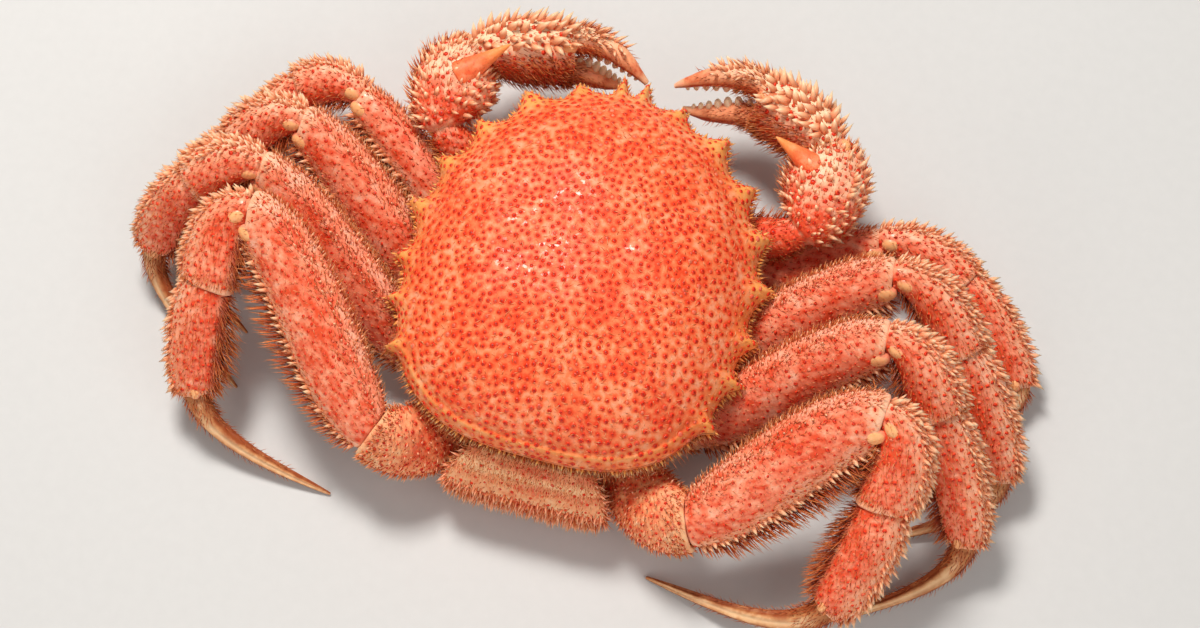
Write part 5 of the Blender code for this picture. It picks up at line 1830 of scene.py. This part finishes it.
def make_palp(side):
    """The small jointed palp folded over the top of a mouth plate."""
    ends = pair_ends(PALP_FROM, PALP_TO, side)
    piece = rod(f"palp_{side_label(side)}", ends, rounded(PALP_SHAPE), sides=10)
    mark_evenly(piece, 0.2, 0.25)
    return piece


def looks():
    """All the materials, made once."""
    if LOOKS:
        return LOOKS
    c = bpy.context.scene.crab_colours
    LOOKS["shell"] = plate_material(
        "shell", c.shell_light, c.shell_pale, c.shell_red, 0.40, cream=c.tooth, creaminess=0.9)
    LOOKS["leg"] = plate_material("leg", c.leg_light, c.leg_pale, c.leg_red, 0.37)
    LOOKS["claw"] = plate_material(
        "claw", c.claw_light, c.claw_pale, c.leg_red, 0.32, cream=c.spine_tip, creaminess=0.9)
    LOOKS["claw_tip"] = plate_material(
        "claw_tip", c.leg_pale, c.finger_pale, c.finger_brown, 0.42, 0.2, c.spine_tip, creaminess=0.7)
    LOOKS["hip"] = plate_material(
        "hip", c.hip_light, c.hip_pale, c.leg_red, 0.36, 0.3, c.hip_cream, creaminess=0.7)
    # The flap's look is the hips' colours, less red and creamier; that extra pallor is painted light,
    # brightening the flap against the shade it lies in under the shell
    LOOKS["flap"] = plate_material(
        "flap", c.hip_light, c.hip_pale, c.leg_red, 0.30, 0.3, c.hip_cream, creaminess=0.8)
    LOOKS["underside"] = plate_material("underside", c.claw_light, c.under_pale, c.shell_red, 0.22, 0.2)
    LOOKS["toe"] = plate_material(
        "toe", c.toe_light, c.toe_pale, c.toe_brown, 0.45, 0.2, c.toe_light, creaminess=0.9)
    LOOKS["coat"] = coat_material("coat", (c.spine_root, c.spine_middle, c.spine_tip))
    LOOKS["shell_coat"] = coat_material("shell_coat", (c.shell_pale, c.tooth, c.tooth_tip))
    LOOKS["knob"] = plate_material("knob", c.knob, c.knob, c.leg_pale, 0.0, 0.1, gloss=0.5, film=0.35)
    LOOKS["tooth"] = plate_material(
        "tooth", c.finger_tooth, c.finger_tooth, c.spine_tip, 0.2, 0.0, film=0.3)
    LOOKS["jaw"] = plate_material("jaw", c.hip_light, c.hip_pale, c.leg_red, 0.42, 0.4, creaminess=0.7)
    LOOKS["eye"] = plain_material("eye", (0.02, 0.012, 0.01), 0.12, 1.0)
    return LOOKS


class CrabShell(bpy.types.PropertyGroup):
    """How fine the shell is"""
    sides: IntProperty(
        name="Sides", description="Points round the shell's first ring", default=76, min=24)
    levels: IntProperty(name="Levels", description="Subdivisions of the shell", default=3, min=1, max=3)


class CrabLimbs(bpy.types.PropertyGroup):
    """How fine and how uneven the limbs are"""
    sides: IntProperty(name="Sides", description="Points round a limb's first ring", default=14, min=8)
    rings: IntProperty(name="Rings", description="Rings along a limb's skin", default=9, min=4)
    levels: IntProperty(name="Levels", description="Subdivisions of a limb", default=2, min=1, max=3)
    unevenness: FloatProperty(
        name="Unevenness", description="How uneven the limbs' skin is", default=0.0005, min=0.0,
        subtype="DISTANCE", unit="LENGTH")
    flutes: FloatProperty(
        name="Flutes", description="Depth of the toes' grooves", default=0.00045, min=0.0,
        subtype="DISTANCE", unit="LENGTH")


def colour_property(name, description, default):
    return FloatVectorProperty(
        name=name, description=description, default=default, subtype="COLOR", size=3, min=0.0, max=1.0)


class CrabColours(bpy.types.PropertyGroup):
    """The crab's colours"""
    shell_light: colour_property("Shell light", "Palest patches of the shell", (0.94, 0.38, 0.21))
    leg_light: colour_property("Leg light", "Palest patches of the legs", (0.97, 0.50, 0.34))
    claw_light: colour_property("Claw light", "Palest patches of the claws", (0.97, 0.66, 0.47))
    toe_light: colour_property("Toe light", "Stripe along the toes", (0.90, 0.58, 0.32))
    shell_pale: colour_property("Shell pale", "Lighter colour of the shell", (0.92, 0.215, 0.075))
    shell_red: colour_property("Shell red", "Redder colour of the shell", (0.82, 0.065, 0.012))
    leg_pale: colour_property("Leg pale", "Lighter colour of the legs", (0.97, 0.31, 0.17))
    leg_red: colour_property("Leg red", "Redder colour of the legs", (0.80, 0.085, 0.025))
    hip_cream: colour_property("Hip cream", "Cream ends of the hips", (1.0, 0.63, 0.34))
    hip_light: colour_property("Hip light", "Palest patches of the hips", (0.98, 0.57, 0.31))
    hip_pale: colour_property("Hip pale", "Lighter colour of the hips", (0.95, 0.34, 0.145))
    claw_pale: colour_property("Claw pale", "Lighter colour of the claws", (0.95, 0.46, 0.28))
    under_pale: colour_property("Underside pale", "Colour of the underside", (0.92, 0.42, 0.23))
    finger_pale: colour_property("Finger pale", "Lighter colour of the fingers", (0.93, 0.38, 0.18))
    finger_brown: colour_property("Finger brown", "Darker colour of the fingers", (0.64, 0.10, 0.03))
    toe_pale: colour_property("Toe pale", "Lighter colour of the toes", (0.62, 0.27, 0.10))
    toe_brown: colour_property("Toe brown", "Darker colour of the toes", (0.36, 0.08, 0.02))
    deep: colour_property("Deep", "Freckles and sockets", (0.40, 0.03, 0.01))
    bristle_root: colour_property("Bristle root", "Bristles at the skin", (0.16, 0.02, 0.008))
    bristle_dark: colour_property("Bristle dark", "Darker bristles", (0.48, 0.075, 0.018))
    bristle_light: colour_property("Bristle light", "Lighter bristles", (0.80, 0.24, 0.065))
    bristle_tip: colour_property("Bristle tip", "Tips of the lightest bristles", (0.95, 0.58, 0.30))
    wart_low: colour_property("Wart foot", "Foot of a wart", (0.87, 0.075, 0.016))
    wart_red: colour_property("Wart side", "Side of a wart", (0.80, 0.034, 0.007))
    wart_top: colour_property("Wart top", "Point of a wart", (0.22, 0.010, 0.004))
    tooth: colour_property("Shell tooth", "Teeth of the shell's rim", (0.95, 0.44, 0.10))
    tooth_tip: colour_property("Shell tooth tip", "Tips of the rim's teeth", (0.97, 0.66, 0.28))
    knob: colour_property("Knob", "Smooth knobs of the joints", (1.0, 0.48, 0.20))
    spine_root: colour_property("Spine root", "Root of a spine", (0.85, 0.26, 0.12))
    spine_middle: colour_property("Spine middle", "Middle of a spine", (0.93, 0.48, 0.26))
    spine_tip: colour_property("Spine tip", "Tip of a spine", (0.97, 0.72, 0.46))
    finger_tooth: colour_property("Finger tooth", "Blunt teeth of the fingers", (1.0, 0.75, 0.50))


class CrabCoat(bpy.types.PropertyGroup):
    """How dense the coat is"""
    density: FloatProperty(
        name="Density", description="Share of the full number of bristles", default=1.0, min=0.1, max=1.0,
        subtype="FACTOR")


class CRAB_OT_shell(bpy.types.Operator):
    """Model the shell plate with its dome and rim teeth"""
    bl_idname = "crab.shell"
    bl_label = "Shell"

    def execute(self, context):
        shell = make_shell(context.scene.crab_shell)
        finish_piece(shell, looks()["shell"], ["shell"])
        return {"FINISHED"}


class CRAB_OT_breast(bpy.types.Operator):
    """Model the breast plate and the boss it rests on"""
    bl_idname = "crab.breast"
    bl_label = "Breast"

    def execute(self, context):
        finish_piece(make_breast(), looks()["underside"], ["breast"])
        finish_piece(make_breast_boss(), looks()["underside"], [])
        return {"FINISHED"}


class CRAB_OT_flap(bpy.types.Operator):
    """Model the belly flap"""
    bl_idname = "crab.flap"
    bl_label = "Belly flap"

    def execute(self, context):
        finish_piece(make_flap(), looks()["flap"], ["belly_flap"])
        return {"FINISHED"}


class CRAB_OT_face(bpy.types.Operator):
    """Model the eyes, the feelers and the mouth plates"""
    bl_idname = "crab.face"
    bl_label = "Face"

    def execute(self, context):
        for side in (-1, 1):
            label = side_label(side)
            finish_piece(make_eye_stalk(side), looks()["leg"], [f"eye_{label}"])
            finish_piece(make_eye(side), looks()["eye"], [])
            finish_piece(make_feeler(side), looks()["leg"], [f"feeler_{label}"])
            finish_piece(make_jaw(side), looks()["jaw"], [f"jaw_{label}"])
            finish_piece(make_palp(side), looks()["leg"], [])
        return {"FINISHED"}


class CRAB_OT_body_coat(bpy.types.Operator):
    """Grow the bristles of the belly flap, the breast and the face"""
    bl_idname = "crab.body_coat"
    bl_label = "Body coat"

    def execute(self, context):
        coat_belly()
        coat_face()
        return {"FINISHED"}


class CRAB_OT_legs(bpy.types.Operator):
    """Model the plates of the eight walking legs"""
    bl_idname = "crab.legs"
    bl_label = "Legs"

    def execute(self, context):
        look_of = {"hip": "hip", "dactyl": "toe"}
        for name in LEG_JOINTS:
            for part, limb in leg_limbs(name).items():
                piece = make_limb(name, part, limb, context.scene.crab_limbs)
                look = look_of.get(part, "leg")
                finish_piece(piece, looks()[look], [f"{name}_{part}"])
            knobs = make_knobs(name, leg_limbs(name), LEG_KNOBS)
            finish_piece(knobs, looks()["knob"], [])
        return {"FINISHED"}


class CRAB_OT_claws(bpy.types.Operator):
    """Model the plates of the two claws"""
    bl_idname = "crab.claws"
    bl_label = "Claws"

    def execute(self, context):
        for name in CLAW_JOINTS:
            for part, limb in claw_limbs(name).items():
                piece = make_limb(name, part, limb, context.scene.crab_limbs)
                nodes = [f"{name}_{part}"] if part != "fixed" else []
                look = "claw_tip" if part in ("finger", "fixed") else "claw"
                finish_piece(piece, looks()[look], nodes)
            limbs = claw_limbs(name)
            finish_piece(make_knobs(name, limbs, CLAW_KNOBS), looks()["knob"], [])
            finish_piece(make_finger_teeth(name, limbs), looks()["tooth"], [])
            finish_piece(make_corner_spine(name), looks()["shell"], [])
        return {"FINISHED"}


class CRAB_OT_shell_coat(bpy.types.Operator):
    """Grow the shell's warts, bristles and fringe"""
    bl_idname = "crab.shell_coat"
    bl_label = "Shell coat"

    def execute(self, context):
        shell = modelled("shell_plate")
        coat_dome(shell)
        coat_rim(shell)
        return {"FINISHED"}


class CRAB_OT_limb_coat(bpy.types.Operator):
    """Grow the coat of the legs and claws"""
    bl_idname = "crab.limb_coat"
    bl_label = "Limb coat"

    def execute(self, context):
        for name in LEG_JOINTS:
            coat_limbs(name, leg_limbs(name), LEG_COAT)
        for name in CLAW_JOINTS:
            coat_limbs(name, claw_limbs(name), CLAW_COAT)
        return {"FINISHED"}


class CRAB_OT_stage(bpy.types.Operator):
    """Set the floor, the lights and the camera"""
    bl_idname = "crab.stage"
    bl_label = "Stage"

    def execute(self, context):
        fresh()
        bpy.ops.mesh.primitive_plane_add(size=FLOOR_SIZE, location=(0.0, 0.0, -FLOOR_DROP))
        floor = named("studio_floor")
        floor.data.materials.append(plain_material("studio_floor", FLOOR_COLOUR, FLOOR_ROUGHNESS))
        for label, place, size, power, colour in LIGHTS:
            bpy.ops.object.light_add(type="AREA", location=placed(place))
            light = bpy.context.object
            light.name = label
            light.data.size = size * MM
            light.data.energy = power
            light.data.color = colour
            light.rotation_mode = "QUATERNION"
            aim = placed(LIGHTS_AIM) - light.location
            light.rotation_quaternion = aim.to_track_quat("-Z", "Y")
        world = bpy.data.worlds.new("studio")
        world.use_nodes = True
        background = world.node_tree.nodes["Background"]
        background.inputs["Color"].default_value = (*WORLD_COLOUR, 1.0)
        background.inputs["Strength"].default_value = WORLD_STRENGTH
        context.scene.world = world
        bpy.ops.object.camera_add(location=placed(CAMERA_AT))
        camera = bpy.context.object
        camera.name = "photo_camera"
        camera.data.lens = CAMERA_LENS
        camera.data.sensor_width = CAMERA_SENSOR
        camera.data.clip_start = CAMERA_CLIP
        camera.rotation_euler = (
            math.radians(90.0 - CAMERA_ELEVATION), 0.0, math.radians(CAMERA_HEADING))
        context.scene.camera = camera
        context.scene.view_settings.view_transform = "Standard"
        return {"FINISHED"}


class CRAB_PT_panel(bpy.types.Panel):
    """Lists the crab's operators and sizes"""
    bl_idname = "CRAB_PT_panel"
    bl_label = "Boiled horsehair crab"
    bl_space_type = "VIEW_3D"
    bl_region_type = "UI"
    bl_category = "Crab"

    def draw(self, context):
        column = self.layout.column()
        for operator in OPERATORS:
            column.operator(operator.bl_idname)
        for label, group in GROUPS.items():
            box = self.layout.box()
            for key in group.__annotations__:
                box.prop(getattr(context.scene, label), key)


OPERATORS = (
    CRAB_OT_shell, CRAB_OT_breast, CRAB_OT_flap, CRAB_OT_face, CRAB_OT_legs, CRAB_OT_claws,
    CRAB_OT_shell_coat, CRAB_OT_body_coat, CRAB_OT_limb_coat, CRAB_OT_stage,
)
GROUPS = {
    "crab_shell": CrabShell, "crab_limbs": CrabLimbs, "crab_colours": CrabColours, "crab_coat": CrabCoat,
}
CLASSES = (*GROUPS.values(), *OPERATORS, CRAB_PT_panel)


def register():
    for kind in CLASSES:
        bpy.utils.register_class(kind)
    for label, group in GROUPS.items():
        setattr(bpy.types.Scene, label, PointerProperty(type=group))


def unregister():
    for label in GROUPS:
        delattr(bpy.types.Scene, label)
    for kind in reversed(CLASSES):
        bpy.utils.unregister_class(kind)


def main():
    register()
    bpy.ops.crab.shell()
    bpy.ops.crab.breast()
    bpy.ops.crab.flap()
    bpy.ops.crab.face()
    bpy.ops.crab.legs()
    bpy.ops.crab.claws()
    bpy.ops.crab.shell_coat()
    bpy.ops.crab.body_coat()
    bpy.ops.crab.limb_coat()
    bpy.ops.crab.stage()


if __name__ == "__main__":
    main()
